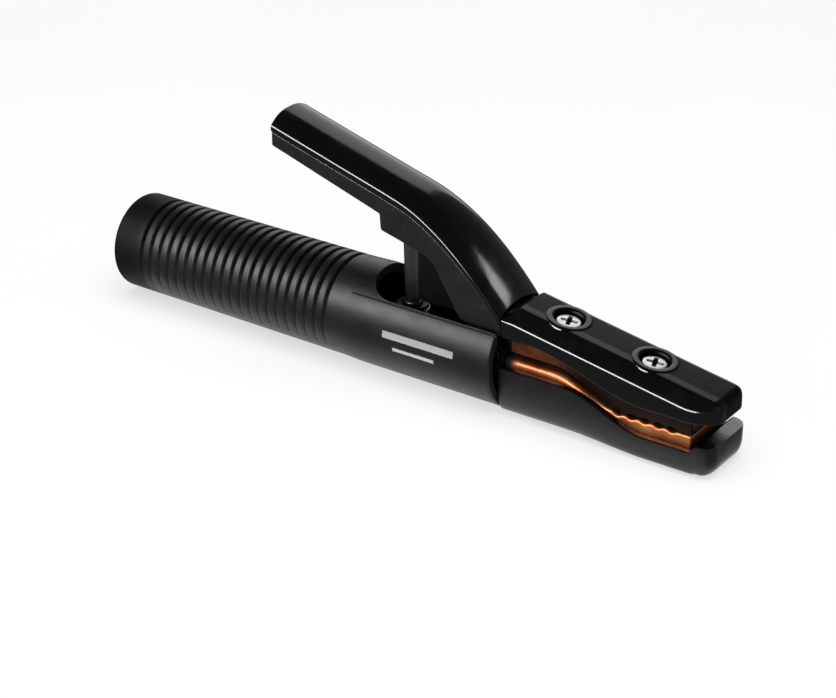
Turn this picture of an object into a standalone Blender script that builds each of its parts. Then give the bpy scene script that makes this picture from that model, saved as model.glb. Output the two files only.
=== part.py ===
"""An electrode holder for arc welding, the tong kind with a squeeze lever, built piece by piece.

Sizes are in millimetres. X runs along the handle towards the jaws and is counted from the middle of
the holder's length, Y is sideways, and heights are counted from the handle's axis. place() turns
such a place into world metres, with the flat underside of the holder at Z = 0.
"""

import math

import bmesh
import bpy
from mathutils import Matrix, Vector

MM = 0.001
AXIS_HEIGHT = 19.2
GAP = 0.3

# Handle: a ribbed tube with a slot in its top for the lever.
HANDLE_REAR = -135.5
HANDLE_FRONT = 46.5
HANDLE_REAR_RADIUS = 19.3
HANDLE_FRONT_RADIUS = 20.2
HANDLE_SWELL_START = -27.0
HANDLE_SWELL_END = -15.0
HANDLE_BORE_RADIUS = 16.7
HANDLE_END_WALL = 4.5
HANDLE_EDGE_ROUND = 2.6
CABLE_ENTRY_RADIUS = 11.0
SLOT_REAR = -12.8
SLOT_CORNER = 12.0
SLOT_HALF_WIDTH = 14.5
GROOVE_COUNT = 21
GROOVE_FIRST = -120.3
GROOVE_PITCH = 4.57
GROOVE_DEPTH = 1.2
GROOVE_HALF_WIDTH = 0.85
GROOVE_OFFSET = 0.77
HANDLE_SEGMENTS = 36

# Pivot of the lever.
PIVOT_X = 40.0
PIVOT_Z = 2.0
PIN_RADIUS = 4.0
PIN_BORE_RADIUS = 4.1
HUB_RADIUS = 7.0
HUB_HALF_WIDTH = 5.0
EAR_RADIUS = 6.5
EAR_HALF_WIDTH = 9.5
PIN_HEAD_RADIUS = 5.5
PIN_HEAD_THICKNESS = 1.5

# Lever: a straight grip that tilts up to the rear and bends down into a leg.
LEVER_REAR = -58.0
LEVER_FRONT = 46.9
LEVER_EDGE_HEIGHT = 54.2
LEVER_SLOPE = 0.285
LEVER_BEND = 0.0098
LEVER_ARCH_RISE = 4.3
LEVER_ARCH_POWER = 2.6
LEVER_REAR_HALF_WIDTH = 12.0
LEVER_LEG_HALF_WIDTH = 13.5
LEVER_LIP = 2.2
LEVER_WALL = 2.4
ARM_HALF_WIDTH = 6.0
ARM_REAR = -46.0
LEVER_UNDERSIDE = ((-58.0, 62.7), (-7.5, 46.8), (-7.4, 40.4), (16.0, 35.2), (29.5, 14.2), (46.9, 12.7))
ARM_CHANNEL = ((-46.3, 62.0), (-4.6, 48.9), (-4.4, 42.9), (17.9, 37.8), (36.0, 9.6), (48.0, 9.6))

# Upper jaw: its top slopes down towards the nose.
JAW_SLOPE = 0.173
PANEL_START = 52.0
PANEL_HEIGHT = 23.8
PANEL_HALF_WIDTH = 8.4
UPPER_REAR = 47.4
UPPER_HALF_WIDTH = 13.75
UPPER_SHOULDER = 4.6
UPPER_SHOULDER_AT_NOSE = 2.9
UPPER_SKIRT_REAR = 12.8
UPPER_SKIRT_FRONT = 1.8
NOSE_FRONT = 135.5
UPPER_NOSE_LENGTH = 10.5
UPPER_NOSE_POWER = 1.8
UPPER_NOSE_FLAT = 6.5
UPPER_NOSE_CHAMFER = 1.4
UPPER_NOSE_ROUND = 3.0
UPPER_NOSE_DROP = 2.6
COPPER_FRONT = 125.8
UPPER_COPPER_REAR = 50.5
UPPER_COPPER_HALF_WIDTH = 10.6
UPPER_COPPER_TOP = 3.9
UPPER_COPPER_CHAMFER = 2.5
UPPER_SCREWS = (68.2, 104.2)
BOSS_RADIUS = 9.2
BOSS_RISE = 0.4
SCREW_HEAD_RADIUS = 4.75
SCREW_HEAD_DEPTH = 1.6
SCREW_HEAD_SINK = 0.9
COUNTERBORE_RADIUS = 5.4
UPPER_SCREW_LENGTH = 10.5

# Lower jaw: a copper beam in a U-shaped insulator.
LOWER_REAR = 46.9
LOWER_HALF_WIDTH = 14.0
LOWER_REAR_CORNER = 10.5
LOWER_NOSE_CORNER = 6.6
RIM_HEIGHT = 0.5
RIM_LOW = -9.4
NOSE_LIP = -6.3
NOSE_WALL = 129.5
LOWER_NOSE_ROUND = 5.7
LOWER_NOSE_LIFT = 5.8
LOWER_COPPER_HALF_WIDTH = 11.0
LOWER_COPPER_BOTTOM = -13.7
LOWER_COPPER_CHAMFER = 2.5
LOWER_COPPER_REAR = 48.3
LOWER_SCREWS = (62.0, 104.0)
BEAM_HEIGHT = 3.6
TEETH_HEIGHT = -4.75
JAW_DIP_START = 68.0
JAW_DIP_END = 97.0
JAW_GAP = 2.8
GRIP_COUNT = 5
GRIP_FIRST = 95.5
GRIP_PITCH = 5.6
GRIP_RADIUS = 1.6

# Body casting inside the handle.
BEAM_HALF_WIDTH = 9.0
SOCKET_REAR = -96.0
SOCKET_FRONT = -30.0
SOCKET_RADIUS = 12.0
SOCKET_BORE_RADIUS = 8.2
SOCKET_BORE_END = -46.0
SLEEVE_WALL = 1.2
CLAMP_SCREWS = (-84.0, -66.0)
CLAMP_SCREW_RADIUS = 4.0
CLAMP_SCREW_TOP = 14.8
LOCK_SCREW_X = -38.0

# Return spring.
SPRING_X = -1.0
SPRING_RADIUS = 6.3
SPRING_WIRE = 0.8
SPRING_TURNS = 3
SPRING_BOTTOM = -8.9
SPRING_TOP = 7.2
SPRING_CAP_RADIUS = 6.2
SPRING_CAP_THICKNESS = 0.8
POST_RADIUS = 2.8
POST_ROOT_RADIUS = 3.7
POST_COLLAR_RADIUS = 3.9
POST_COLLAR_HEIGHT = 0.9
POST_TIP = 3.0
WEB_BOTTOM = 11.4
WEB_HALF_WIDTH = 2.5

BLACK_SATIN = ("black_satin_plastic", (0.020, 0.020, 0.022, 1.0), 0.42, 0.0)
BLACK_GLOSS = ("black_gloss_plastic", (0.010, 0.010, 0.011, 1.0), 0.16, 0.0)
COPPER = ("copper_alloy", (0.80, 0.36, 0.16, 1.0), 0.28, 1.0)
BRIGHT_STEEL = ("zinc_plated_steel", (0.80, 0.80, 0.78, 1.0), 0.25, 1.0)
SPRING_STEEL = ("spring_steel", (0.62, 0.62, 0.62, 1.0), 0.30, 1.0)


def clear_scene():
    for old in list(bpy.data.objects):
        bpy.data.objects.remove(old, do_unlink=True)


def make_collection(name):
    collection = bpy.data.collections.new(name)
    bpy.context.scene.collection.children.link(collection)
    return collection


def place(x, y, z):
    """World metres of a place given in millimetres along, across and above the handle's axis."""
    return Vector((x, y, z + AXIS_HEIGHT)) * MM


def make_material(node_name, look):
    kind, colour, roughness, metallic = look
    material = bpy.data.materials.new(node_name + "_" + kind)
    material.use_nodes = True
    shader = material.node_tree.nodes["Principled BSDF"]
    shader.inputs["Base Color"].default_value = colour
    shader.inputs["Roughness"].default_value = roughness
    shader.inputs["Metallic"].default_value = metallic
    material.diffuse_color = colour
    return material


def finish_part(part, look, smooth=False):
    """Gives a piece its own material and its shading."""
    part.data.materials.clear()
    part.data.materials.append(make_material(part.name, look))
    for face in part.data.polygons:
        face.use_smooth = smooth
    return part


def link_mesh(name, mesh, collection):
    part = bpy.data.objects.new(name, mesh)
    collection.objects.link(part)
    if collection is CUTTERS:
        part.hide_render = True
        part.display_type = "WIRE"
    return part


def mesh_from(name, builder, collection):
    """One object from a bmesh with outward normals."""
    bmesh.ops.recalc_face_normals(builder, faces=builder.faces)
    mesh = bpy.data.meshes.new(name)
    builder.to_mesh(mesh)
    builder.free()
    return link_mesh(name, mesh, collection)


def loft(name, rings, collection):
    """A solid skinned over rings of places, each ring with the same number of corners."""
    builder = bmesh.new()
    rows = [[builder.verts.new(place(*corner)) for corner in ring] for ring in rings]
    for near, far in zip(rows, rows[1:]):
        for i in range(len(near)):
            j = (i + 1) % len(near)
            builder.faces.new((near[i], near[j], far[j], far[i]))
    builder.faces.new(rows[0])
    builder.faces.new(rows[-1])
    return mesh_from(name, builder, collection)


def box(name, low, high, collection):
    """A box between two corners."""
    builder = bmesh.new()
    bmesh.ops.create_cube(builder, size=1.0)
    low_corner = place(*low)
    high_corner = place(*high)
    for vert in builder.verts:
        for axis in range(3):
            vert.co[axis] = low_corner[axis] if vert.co[axis] < 0.0 else high_corner[axis]
    return mesh_from(name, builder, collection)


def rod(name, start, end, radius, collection, segments=32, end_radius=None):
    """A cylinder, or a cone frustum, between two places."""
    first = place(*start)
    last = place(*end)
    along = last - first
    turn = along.to_track_quat("Z", "Y").to_matrix().to_4x4()
    builder = bmesh.new()
    bmesh.ops.create_cone(
        builder,
        cap_ends=True,
        segments=segments,
        radius1=radius * MM,
        radius2=(radius if end_radius is None else end_radius) * MM,
        depth=along.length,
        matrix=Matrix.Translation((first + last) / 2.0) @ turn,
    )
    return mesh_from(name, builder, collection)


def turned(name, profile, origin, direction, collection, segments=32):
    """A solid of revolution. The profile holds (radius, distance along the axis) pairs, running
    down its outer side; a closed profile that stays off the axis makes a ring."""
    builder = bmesh.new()
    verts = [builder.verts.new((radius * MM, 0.0, along * MM)) for radius, along in profile]
    on_axis = profile[0][0] == 0.0
    for first, second in zip(verts, verts[1:]):
        builder.edges.new((first, second))
    if not on_axis:
        builder.edges.new((verts[-1], verts[0]))
    mesh = bpy.data.meshes.new(name)
    builder.to_mesh(mesh)
    builder.free()
    part = link_mesh(name, mesh, collection)
    part.location = place(*origin)
    part.rotation_mode = "QUATERNION"
    part.rotation_quaternion = Vector(direction).to_track_quat("Z", "Y")
    screw = part.modifiers.new("turn", "SCREW")
    screw.axis = "Z"
    screw.angle = math.tau
    screw.steps = segments
    screw.render_steps = segments
    screw.use_merge_vertices = True
    screw.merge_threshold = 0.00001
    screw.use_smooth_shade = True
    return part


def plate(name, outline, half_width, collection):
    """A flat outline in the X-Z plane, as thick as two half widths across Y."""
    curve = bpy.data.curves.new(name + "_outline", "CURVE")
    curve.dimensions = "2D"
    curve.fill_mode = "BOTH"
    curve.extrude = half_width * MM
    spline = curve.splines.new("POLY")
    spline.points.add(len(outline) - 1)
    for point, (x, z) in zip(spline.points, outline):
        point.co = (x * MM, (z + AXIS_HEIGHT) * MM, 0.0, 1.0)
    spline.use_cyclic_u = True
    shape = bpy.data.objects.new(name + "_outline", curve)
    shape.rotation_euler = (math.pi / 2.0, 0.0, 0.0)
    bpy.context.scene.collection.objects.link(shape)
    bpy.context.view_layer.update()
    evaluated = shape.evaluated_get(bpy.context.evaluated_depsgraph_get())
    mesh = bpy.data.meshes.new_from_object(evaluated)
    mesh.transform(shape.matrix_world)
    mesh.name = name
    bpy.data.objects.remove(shape, do_unlink=True)
    bpy.data.curves.remove(curve)
    builder = bmesh.new()
    builder.from_mesh(mesh)
    bmesh.ops.remove_doubles(builder, verts=builder.verts, dist=0.00001)
    bpy.data.meshes.remove(mesh)
    return mesh_from(name, builder, collection)


def combine(target, tool, operation):
    boolean = target.modifiers.new(tool.name, "BOOLEAN")
    boolean.operation = operation
    boolean.solver = "EXACT"
    boolean.object = tool


def add(target, *tools):
    for tool in tools:
        combine(target, tool, "UNION")


def cut(target, *tools):
    for tool in tools:
        combine(target, tool, "DIFFERENCE")


def smoothstep(low, high, value):
    t = min(max((value - low) / (high - low), 0.0), 1.0)
    return t * t * (3.0 - 2.0 * t)


def interpolate(points, x):
    """The height of a broken line at x."""
    if x <= points[0][0]:
        return points[0][1]
    for (x0, z0), (x1, z1) in zip(points, points[1:]):
        if x <= x1:
            return z0 + (z1 - z0) * (x - x0) / (x1 - x0)
    return points[-1][1]


def spread(low, high, count):
    return [low + (high - low) * i / (count - 1) for i in range(count)]


def lever_edge(x):
    """Height of the lever's long top edge."""
    return LEVER_EDGE_HEIGHT - LEVER_SLOPE * x - LEVER_BEND * max(x, 0.0) ** 2


def lever_half_width(x):
    widen = smoothstep(-8.0, 32.0, x)
    return LEVER_REAR_HALF_WIDTH + (LEVER_LEG_HALF_WIDTH - LEVER_REAR_HALF_WIDTH) * widen


def panel(x):
    """Height of the upper jaw insulator's flat top."""
    return PANEL_HEIGHT - JAW_SLOPE * (x - PANEL_START)


def jaw_top(x):
    """Top of the lower copper jaw: high behind, dipping to the teeth."""
    return BEAM_HEIGHT + (TEETH_HEIGHT - BEAM_HEIGHT) * smoothstep(JAW_DIP_START, JAW_DIP_END, x)


def jaw_underside(x):
    """Underside of the upper copper jaw, which closes on the teeth."""
    closing = smoothstep(JAW_DIP_START + 4.0, JAW_DIP_END, x)
    return jaw_top(x) + JAW_GAP + (GAP - JAW_GAP) * closing


def rim(x):
    """Top of the lower insulator's side walls: it dips beside the teeth and lifts again at the nose."""
    dip = (RIM_LOW - RIM_HEIGHT) * smoothstep(74.0, 108.0, x)
    return RIM_HEIGHT + dip + (NOSE_LIP - RIM_LOW) * smoothstep(NOSE_WALL - 3.5, NOSE_WALL + 0.2, x)


def upper_skirt(x):
    """Bottom of the upper insulator's side walls, which follow the dip of the copper."""
    fall = UPPER_SKIRT_REAR - UPPER_SKIRT_FRONT
    return UPPER_SKIRT_REAR - fall * smoothstep(58.0, 108.0, x)


def lower_nose_stations():
    """Sections round the lower nose, from its start to the front, a share of a quarter turn each."""
    start = NOSE_FRONT - LOWER_NOSE_ROUND
    return [start + LOWER_NOSE_ROUND * math.sin(math.pi / 2.0 * share) for share in spread(0.0, 1.0, 5)]


def upper_nose_half_width(x):
    """The upper nose is blunt and rounded in plan."""
    along = max((x - NOSE_FRONT + UPPER_NOSE_LENGTH) / UPPER_NOSE_LENGTH, 0.0)
    share = max(1.0 - along**UPPER_NOSE_POWER, 0.0) ** (1.0 / UPPER_NOSE_POWER)
    return UPPER_NOSE_FLAT + (UPPER_HALF_WIDTH - UPPER_NOSE_FLAT) * share


def handle_radius(x):
    if x <= HANDLE_SWELL_START:
        share = (x - HANDLE_REAR) / (HANDLE_SWELL_START - HANDLE_REAR)
        return HANDLE_REAR_RADIUS + 0.5 * share
    share = smoothstep(HANDLE_SWELL_START, HANDLE_SWELL_END, x)
    return HANDLE_REAR_RADIUS + 0.5 + (HANDLE_FRONT_RADIUS - HANDLE_REAR_RADIUS - 0.5) * share


def handle():
    front_edge = 0.5
    outer = [
        (HANDLE_FRONT_RADIUS - front_edge, HANDLE_FRONT),
        (HANDLE_FRONT_RADIUS, HANDLE_FRONT - front_edge),
    ]
    outer += [(handle_radius(x), x) for x in (-15.0, -18.0, -21.0, -24.0, -27.0, -131.0 + HANDLE_EDGE_ROUND)]
    for step in range(1, 5):
        angle = math.radians(90.0 * step / 4)
        radius = handle_radius(HANDLE_REAR) - HANDLE_EDGE_ROUND * (1.0 - math.cos(angle))
        outer.append((radius, HANDLE_REAR + HANDLE_EDGE_ROUND * (1.0 - math.sin(angle))))
    inner = [
        (CABLE_ENTRY_RADIUS, HANDLE_REAR),
        (CABLE_ENTRY_RADIUS, HANDLE_REAR + HANDLE_END_WALL),
        (HANDLE_BORE_RADIUS, HANDLE_REAR + HANDLE_END_WALL),
        (HANDLE_BORE_RADIUS, HANDLE_FRONT),
    ]
    part = turned("handle", outer + inner, (0, 0, 0), (1, 0, 0), PARTS, HANDLE_SEGMENTS)
    cut(part, groove_comb())
    cut(part, loft("slot", [[(x, y, z) for x, y in slot_outline()] for z in (0, 40)], CUTTERS))
    cut(part, box("underside", (-140, -20, -30), (50, 20, -AXIS_HEIGHT), CUTTERS))
    cut(part, rod("lock_hole", (LOCK_SCREW_X, 0, -25), (LOCK_SCREW_X, 0, -10), 2.8, CUTTERS, 24))
    recess = (LOCK_SCREW_X, 0, -AXIS_HEIGHT + 1.5)
    cut(part, rod("lock_recess", (LOCK_SCREW_X, 0, -25), recess, 4.4, CUTTERS, 24))
    return finish_part(part, BLACK_SATIN, smooth=True)


def slot_outline():
    """The slot from above, with two round corners at its closed end."""
    outline = [(60.0, SLOT_HALF_WIDTH), (60.0, -SLOT_HALF_WIDTH)]
    for step in range(17):
        angle = math.radians(-90.0 - 180.0 * step / 16)
        middle = (SLOT_HALF_WIDTH - SLOT_CORNER) * (1.0 if step > 8 else -1.0)
        if step == 8:
            continue
        x = SLOT_REAR + SLOT_CORNER + SLOT_CORNER * math.cos(angle)
        outline.append((x, middle + SLOT_CORNER * math.sin(angle)))
    return outline


def groove_comb():
    """One turned cutter with a V tooth for each groove. Its axis lies a little below the handle's,
    so the grooves are deep on top and fade out round the sides."""
    back = 21.6
    clear = 26.0
    profile = [(clear, HANDLE_REAR - 2), (back, HANDLE_REAR - 2)]
    for i in range(GROOVE_COUNT):
        x = GROOVE_FIRST + i * GROOVE_PITCH
        tip = handle_radius(x) - GROOVE_DEPTH + GROOVE_OFFSET
        half = GROOVE_HALF_WIDTH * (back - tip) / GROOVE_DEPTH
        profile += [(back, x - half), (tip, x - 0.2), (tip, x + 0.2), (back, x + half)]
    last = GROOVE_FIRST + GROOVE_COUNT * GROOVE_PITCH
    profile += [(back, last), (clear, last)]
    return turned("grooves", profile, (0, 0, -GROOVE_OFFSET), (1, 0, 0), CUTTERS, HANDLE_SEGMENTS)


def copper_ring(x, half_width, low, high, low_chamfer, high_chamfer):
    """An eight-cornered section across the holder."""
    return [
        (x, -half_width, high - high_chamfer),
        (x, -half_width, low + low_chamfer),
        (x, -half_width + low_chamfer, low),
        (x, half_width - low_chamfer, low),
        (x, half_width, low + low_chamfer),
        (x, half_width, high - high_chamfer),
        (x, half_width - high_chamfer, high),
        (x, -half_width + high_chamfer, high),
    ]


def jaw_stations():
    return [60.0] + spread(JAW_DIP_START, JAW_DIP_END, 9) + [COPPER_FRONT]


def body_casting():
    rings = []
    half = LOWER_COPPER_HALF_WIDTH
    for x in [LOWER_COPPER_REAR] + jaw_stations():
        rings.append(copper_ring(x, half, LOWER_COPPER_BOTTOM, jaw_top(x), LOWER_COPPER_CHAMFER, 1.2))
    part = loft("body_casting", rings, PARTS)
    beam = [
        (SOCKET_FRONT - 6, LOWER_COPPER_BOTTOM),
        (LOWER_COPPER_REAR + 4, LOWER_COPPER_BOTTOM),
        (LOWER_COPPER_REAR + 4, -5.4),
        (27.0, -5.4),
        (22.0, -9.5),
        (-23.0, -9.5),
        (-29.0, 4.0),
        (SOCKET_FRONT - 6, 4.0),
    ]
    add(part, plate("beam", beam, BEAM_HALF_WIDTH, CUTTERS))
    ear_top = [
        (PIVOT_X + EAR_RADIUS * math.cos(math.radians(a)), PIVOT_Z + EAR_RADIUS * math.sin(math.radians(a)))
        for a in range(0, 181, 20)
    ]
    ear_foot = [(PIVOT_X - EAR_RADIUS - 4, -8.0), (PIVOT_X + EAR_RADIUS, -8.0)]
    add(part, plate("ears", ear_top + ear_foot, EAR_HALF_WIDTH, CUTTERS))
    add(part, rod("socket", (SOCKET_REAR, 0, 0), (SOCKET_FRONT, 0, 0), SOCKET_RADIUS, CUTTERS))
    add(part, rod("lock_boss", (LOCK_SCREW_X, 0, -15.6), (LOCK_SCREW_X, 0, -8), 4.5, CUTTERS, 24))
    add(part, box("keel", (-26, -3.4, -16.1), (PIVOT_X, 3.4, -12), CUTTERS))
    hub_room = HUB_RADIUS + 0.6
    ear_gap_low = (PIVOT_X - hub_room, -HUB_HALF_WIDTH - GAP, -5.4)
    ear_gap_high = (PIVOT_X + hub_room, HUB_HALF_WIDTH + GAP, 12)
    cut(part, box("ear_gap", ear_gap_low, ear_gap_high, CUTTERS))
    cut(part, rod("pin_bore", (PIVOT_X, -12, PIVOT_Z), (PIVOT_X, 12, PIVOT_Z), PIN_BORE_RADIUS, CUTTERS))
    bore_start = (SOCKET_REAR - 5, 0, 0)
    cut(part, rod("cable_bore", bore_start, (SOCKET_BORE_END, 0, 0), SOCKET_BORE_RADIUS, CUTTERS))
    for i, x in enumerate(CLAMP_SCREWS):
        hole = rod(f"clamp_hole_{i}", (x, 0, 4), (x, 0, 20), CLAMP_SCREW_RADIUS + GAP, CUTTERS, 24)
        cut(part, hole)
    cut(part, rod("lock_thread", (LOCK_SCREW_X, 0, -25), (LOCK_SCREW_X, 0, -6), 2.8, CUTTERS, 24))
    cut(part, rod("spring_pocket", (SPRING_X, 0, -11), (SPRING_X, 0, -4), 8.0, CUTTERS))
    for i, x in enumerate(LOWER_SCREWS):
        cut(part, rod(f"lower_thread_{i}", (x, 0, -25), (x, 0, -7), 2.8, CUTTERS, 24))
    cut(part, *grips("lower"))
    return finish_part(part, COPPER)


def grips(label):
    """Cutters for the round grooves across the teeth, which take the electrode."""
    made = []
    for i in range(GRIP_COUNT):
        x = GRIP_FIRST + i * GRIP_PITCH
        z = TEETH_HEIGHT + GAP / 2
        made.append(rod(f"{label}_grip_{i}", (x, -16, z), (x, 16, z), GRIP_RADIUS, CUTTERS, 16))
    return made


def lower_ring(x):
    """Section of the lower insulator before it is hollowed, with round bottom corners."""
    round_share = max((x - NOSE_FRONT + LOWER_NOSE_ROUND) / LOWER_NOSE_ROUND, 0.0)
    pull_in = 1.0 - math.sqrt(max(1.0 - round_share**2, 0.0))
    half = LOWER_HALF_WIDTH - LOWER_NOSE_ROUND * pull_in
    bottom = -AXIS_HEIGHT + LOWER_NOSE_LIFT * pull_in
    corner = LOWER_REAR_CORNER + (LOWER_NOSE_CORNER - LOWER_REAR_CORNER) * smoothstep(55.0, 122.0, x)
    corner = min(corner, rim(x) - bottom - 0.8)
    ring = [(x, -half, rim(x))]
    for side in (-1.0, 1.0):
        for step in range(6):
            turn = math.radians(18.0 * step)
            if side > 0.0:
                turn = math.pi / 2.0 - turn
            y = side * (half - corner + corner * math.cos(turn))
            ring.append((x, y, bottom + corner - corner * math.sin(turn)))
    ring.append((x, half, rim(x)))
    return ring


def lower_jaw_insulator():
    stations = [LOWER_REAR] + spread(58.0, 126.0, 9) + [127.2, 128.4, NOSE_WALL + 0.2] + lower_nose_stations()
    part = loft("lower_jaw_insulator", [lower_ring(x) for x in stations], PARTS)
    wall = LOWER_COPPER_HALF_WIDTH + GAP
    rings = [
        copper_ring(x, wall, LOWER_COPPER_BOTTOM - GAP, 10.0, LOWER_COPPER_CHAMFER, 1.0)
        for x in (LOWER_REAR - 2, NOSE_WALL)
    ]
    cut(part, loft("lower_channel", rings, CUTTERS))
    for i, x in enumerate(LOWER_SCREWS):
        cut(part, rod(f"lower_hole_{i}", (x, 0, -25), (x, 0, -10), 2.8, CUTTERS, 24))
        head_seat = (x, 0, -AXIS_HEIGHT + SCREW_HEAD_DEPTH + 0.9)
        cut(part, rod(f"lower_recess_{i}", (x, 0, -25), head_seat, SCREW_HEAD_RADIUS + 0.5, CUTTERS, 24))
    return finish_part(part, BLACK_SATIN)


def upper_ring(x):
    """Section of the upper insulator before it is hollowed: flat top, sloping shoulders, flat sides."""
    half = upper_nose_half_width(x)
    rear_drop = UPPER_SHOULDER * 0.9 * (PANEL_START - x) / (PANEL_START - UPPER_REAR)
    round_share = max((x - NOSE_FRONT + UPPER_NOSE_ROUND) / UPPER_NOSE_ROUND, 0.0)
    front_drop = UPPER_NOSE_DROP * (1.0 - math.sqrt(max(1.0 - round_share**2, 0.0)))
    top = panel(x) - max(rear_drop, front_drop, 0.0)
    lift = (UPPER_SHOULDER - UPPER_SHOULDER_AT_NOSE) * smoothstep(122.0, NOSE_FRONT - 1.0, x)
    shoulder = panel(x) - UPPER_SHOULDER + lift
    inset = half - min(PANEL_HALF_WIDTH, half - UPPER_NOSE_CHAMFER)
    return [
        (x, -half, upper_skirt(x)),
        (x, -half, shoulder),
        (x, -half + inset, top),
        (x, half - inset, top),
        (x, half, shoulder),
        (x, half, upper_skirt(x)),
    ]


def upper_jaw_insulator():
    stations = [UPPER_REAR, PANEL_START] + spread(60.0, 108.0, 7) + [120.5, NOSE_FRONT - UPPER_NOSE_LENGTH]
    stations += [128.5, 130.8, NOSE_FRONT - UPPER_NOSE_ROUND, 133.8, 134.8, 135.3, NOSE_FRONT]
    part = loft("upper_jaw_insulator", [upper_ring(x) for x in stations], PARTS)
    for i, x in enumerate(UPPER_SCREWS):
        add(part, rod(f"boss_{i}", along_screw(x, -3.0), along_screw(x, BOSS_RISE), BOSS_RADIUS, CUTTERS))
    wall = UPPER_COPPER_HALF_WIDTH + GAP
    rings = []
    for x in (UPPER_REAR - 2, COPPER_FRONT + GAP):
        high = panel(x) - UPPER_COPPER_TOP + GAP
        rings.append(copper_ring(x, wall, -12.0, high, 0.5, UPPER_COPPER_CHAMFER))
    cut(part, loft("upper_channel", rings, CUTTERS))
    for i, x in enumerate(UPPER_SCREWS):
        cut(part, rod(f"upper_hole_{i}", along_screw(x, -8.0), along_screw(x, 5.0), 2.8, CUTTERS, 24))
        seat = -SCREW_HEAD_SINK - SCREW_HEAD_DEPTH - 0.2
        floor = along_screw(x, seat)
        cut(part, rod(f"counterbore_{i}", floor, along_screw(x, 5.0), COUNTERBORE_RADIUS, CUTTERS, 24))
    return finish_part(part, BLACK_GLOSS)


def along_screw(x, distance):
    """A place on the axis of an upper jaw screw, which stands square to the sloping top."""
    tilt = math.atan(JAW_SLOPE)
    return (x + distance * math.sin(tilt), 0.0, panel(x) + distance * math.cos(tilt))


def jaw_lever():
    """The copper lever: upper jaw, hub on the pivot pin, and the arm inside the squeeze lever."""
    rings = []
    half = UPPER_COPPER_HALF_WIDTH
    for x in [UPPER_COPPER_REAR] + jaw_stations():
        high = panel(x) - UPPER_COPPER_TOP
        rings.append(copper_ring(x, half, jaw_underside(x), high, 0.8, UPPER_COPPER_CHAMFER))
    part = loft("jaw_lever", rings, PARTS)
    arm_top = [(x, lever_edge(x) - 0.8) for x in [ARM_REAR, 0.0] + spread(8.0, 42.0, 6)]
    arm_low = [(54.0, 12.0), (47.0, 9.3), (37.0, 9.3), (18.4, 38.4), (-4.0, 43.4), (-4.1, 49.3)]
    arm_low.append((ARM_REAR, 62.4))
    arm = arm_top + [(46.0, 17.0), (54.0, 18.0)] + arm_low
    add(part, plate("arm", arm, ARM_HALF_WIDTH, CUTTERS))
    neck = [(47.5, 18.0), (47.5, 6.5), (46.5, 0.5), (33.5, 0.5), (33.5, 18.0)]
    add(part, plate("neck", neck, HUB_HALF_WIDTH, CUTTERS))
    hub_end = HUB_HALF_WIDTH
    add(part, rod("hub", (PIVOT_X, -hub_end, PIVOT_Z), (PIVOT_X, hub_end, PIVOT_Z), HUB_RADIUS, CUTTERS))
    cut(part, rod("hub_bore", (PIVOT_X, -12, PIVOT_Z), (PIVOT_X, 12, PIVOT_Z), PIN_BORE_RADIUS, CUTTERS))
    for i, x in enumerate(UPPER_SCREWS):
        cut(part, rod(f"upper_thread_{i}", along_screw(x, -12.5), along_screw(x, 2.0), 2.8, CUTTERS, 24))
    cut(part, rod("cover_thread", *cover_screw_line(-2.0, 8.5), 2.3, CUTTERS, 24))
    cut(part, *grips("upper"))
    return finish_part(part, COPPER)


def cover_screw_line(start, end):
    """Two places on the axis of the lever's screw, counted upwards from the lever's underside."""
    x = -30.0
    lean = math.atan(0.315)
    base = interpolate(LEVER_UNDERSIDE, x)
    return [(x + d * math.sin(lean), 0.0, base + d * math.cos(lean)) for d in (start, end)]


def cover_ring(x, inset, lip, rise):
    """Section of the lever cover: an arch over two short sides."""
    half = lever_half_width(x) - inset
    edge = lever_edge(x)
    ring = [(x, -half, edge - lip)]
    for share in spread(-1.0, 1.0, 13):
        ring.append((x, half * share, edge + rise * (1.0 - abs(share) ** LEVER_ARCH_POWER)))
    ring.append((x, half, edge - lip))
    return ring


def lever_cover():
    stations = [LEVER_REAR, -30.0, 0.0] + spread(6.0, LEVER_FRONT, 8)
    part = loft("lever_cover", [cover_ring(x, 0.0, LEVER_LIP, LEVER_ARCH_RISE) for x in stations], PARTS)
    inner = [LEVER_REAR + LEVER_WALL] + stations[1:-1] + [LEVER_FRONT + 0.5]
    hollow = [cover_ring(x, LEVER_WALL, LEVER_LIP + 3.8, LEVER_ARCH_RISE - LEVER_WALL) for x in inner]
    cut(part, loft("cover_hollow", hollow, CUTTERS))
    return finish_part(part, BLACK_GLOSS, smooth=False)


def body_ring(x, half, low, high):
    return [(x, -half, low), (x, -half, high), (x, half, high), (x, half, low)]


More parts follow.
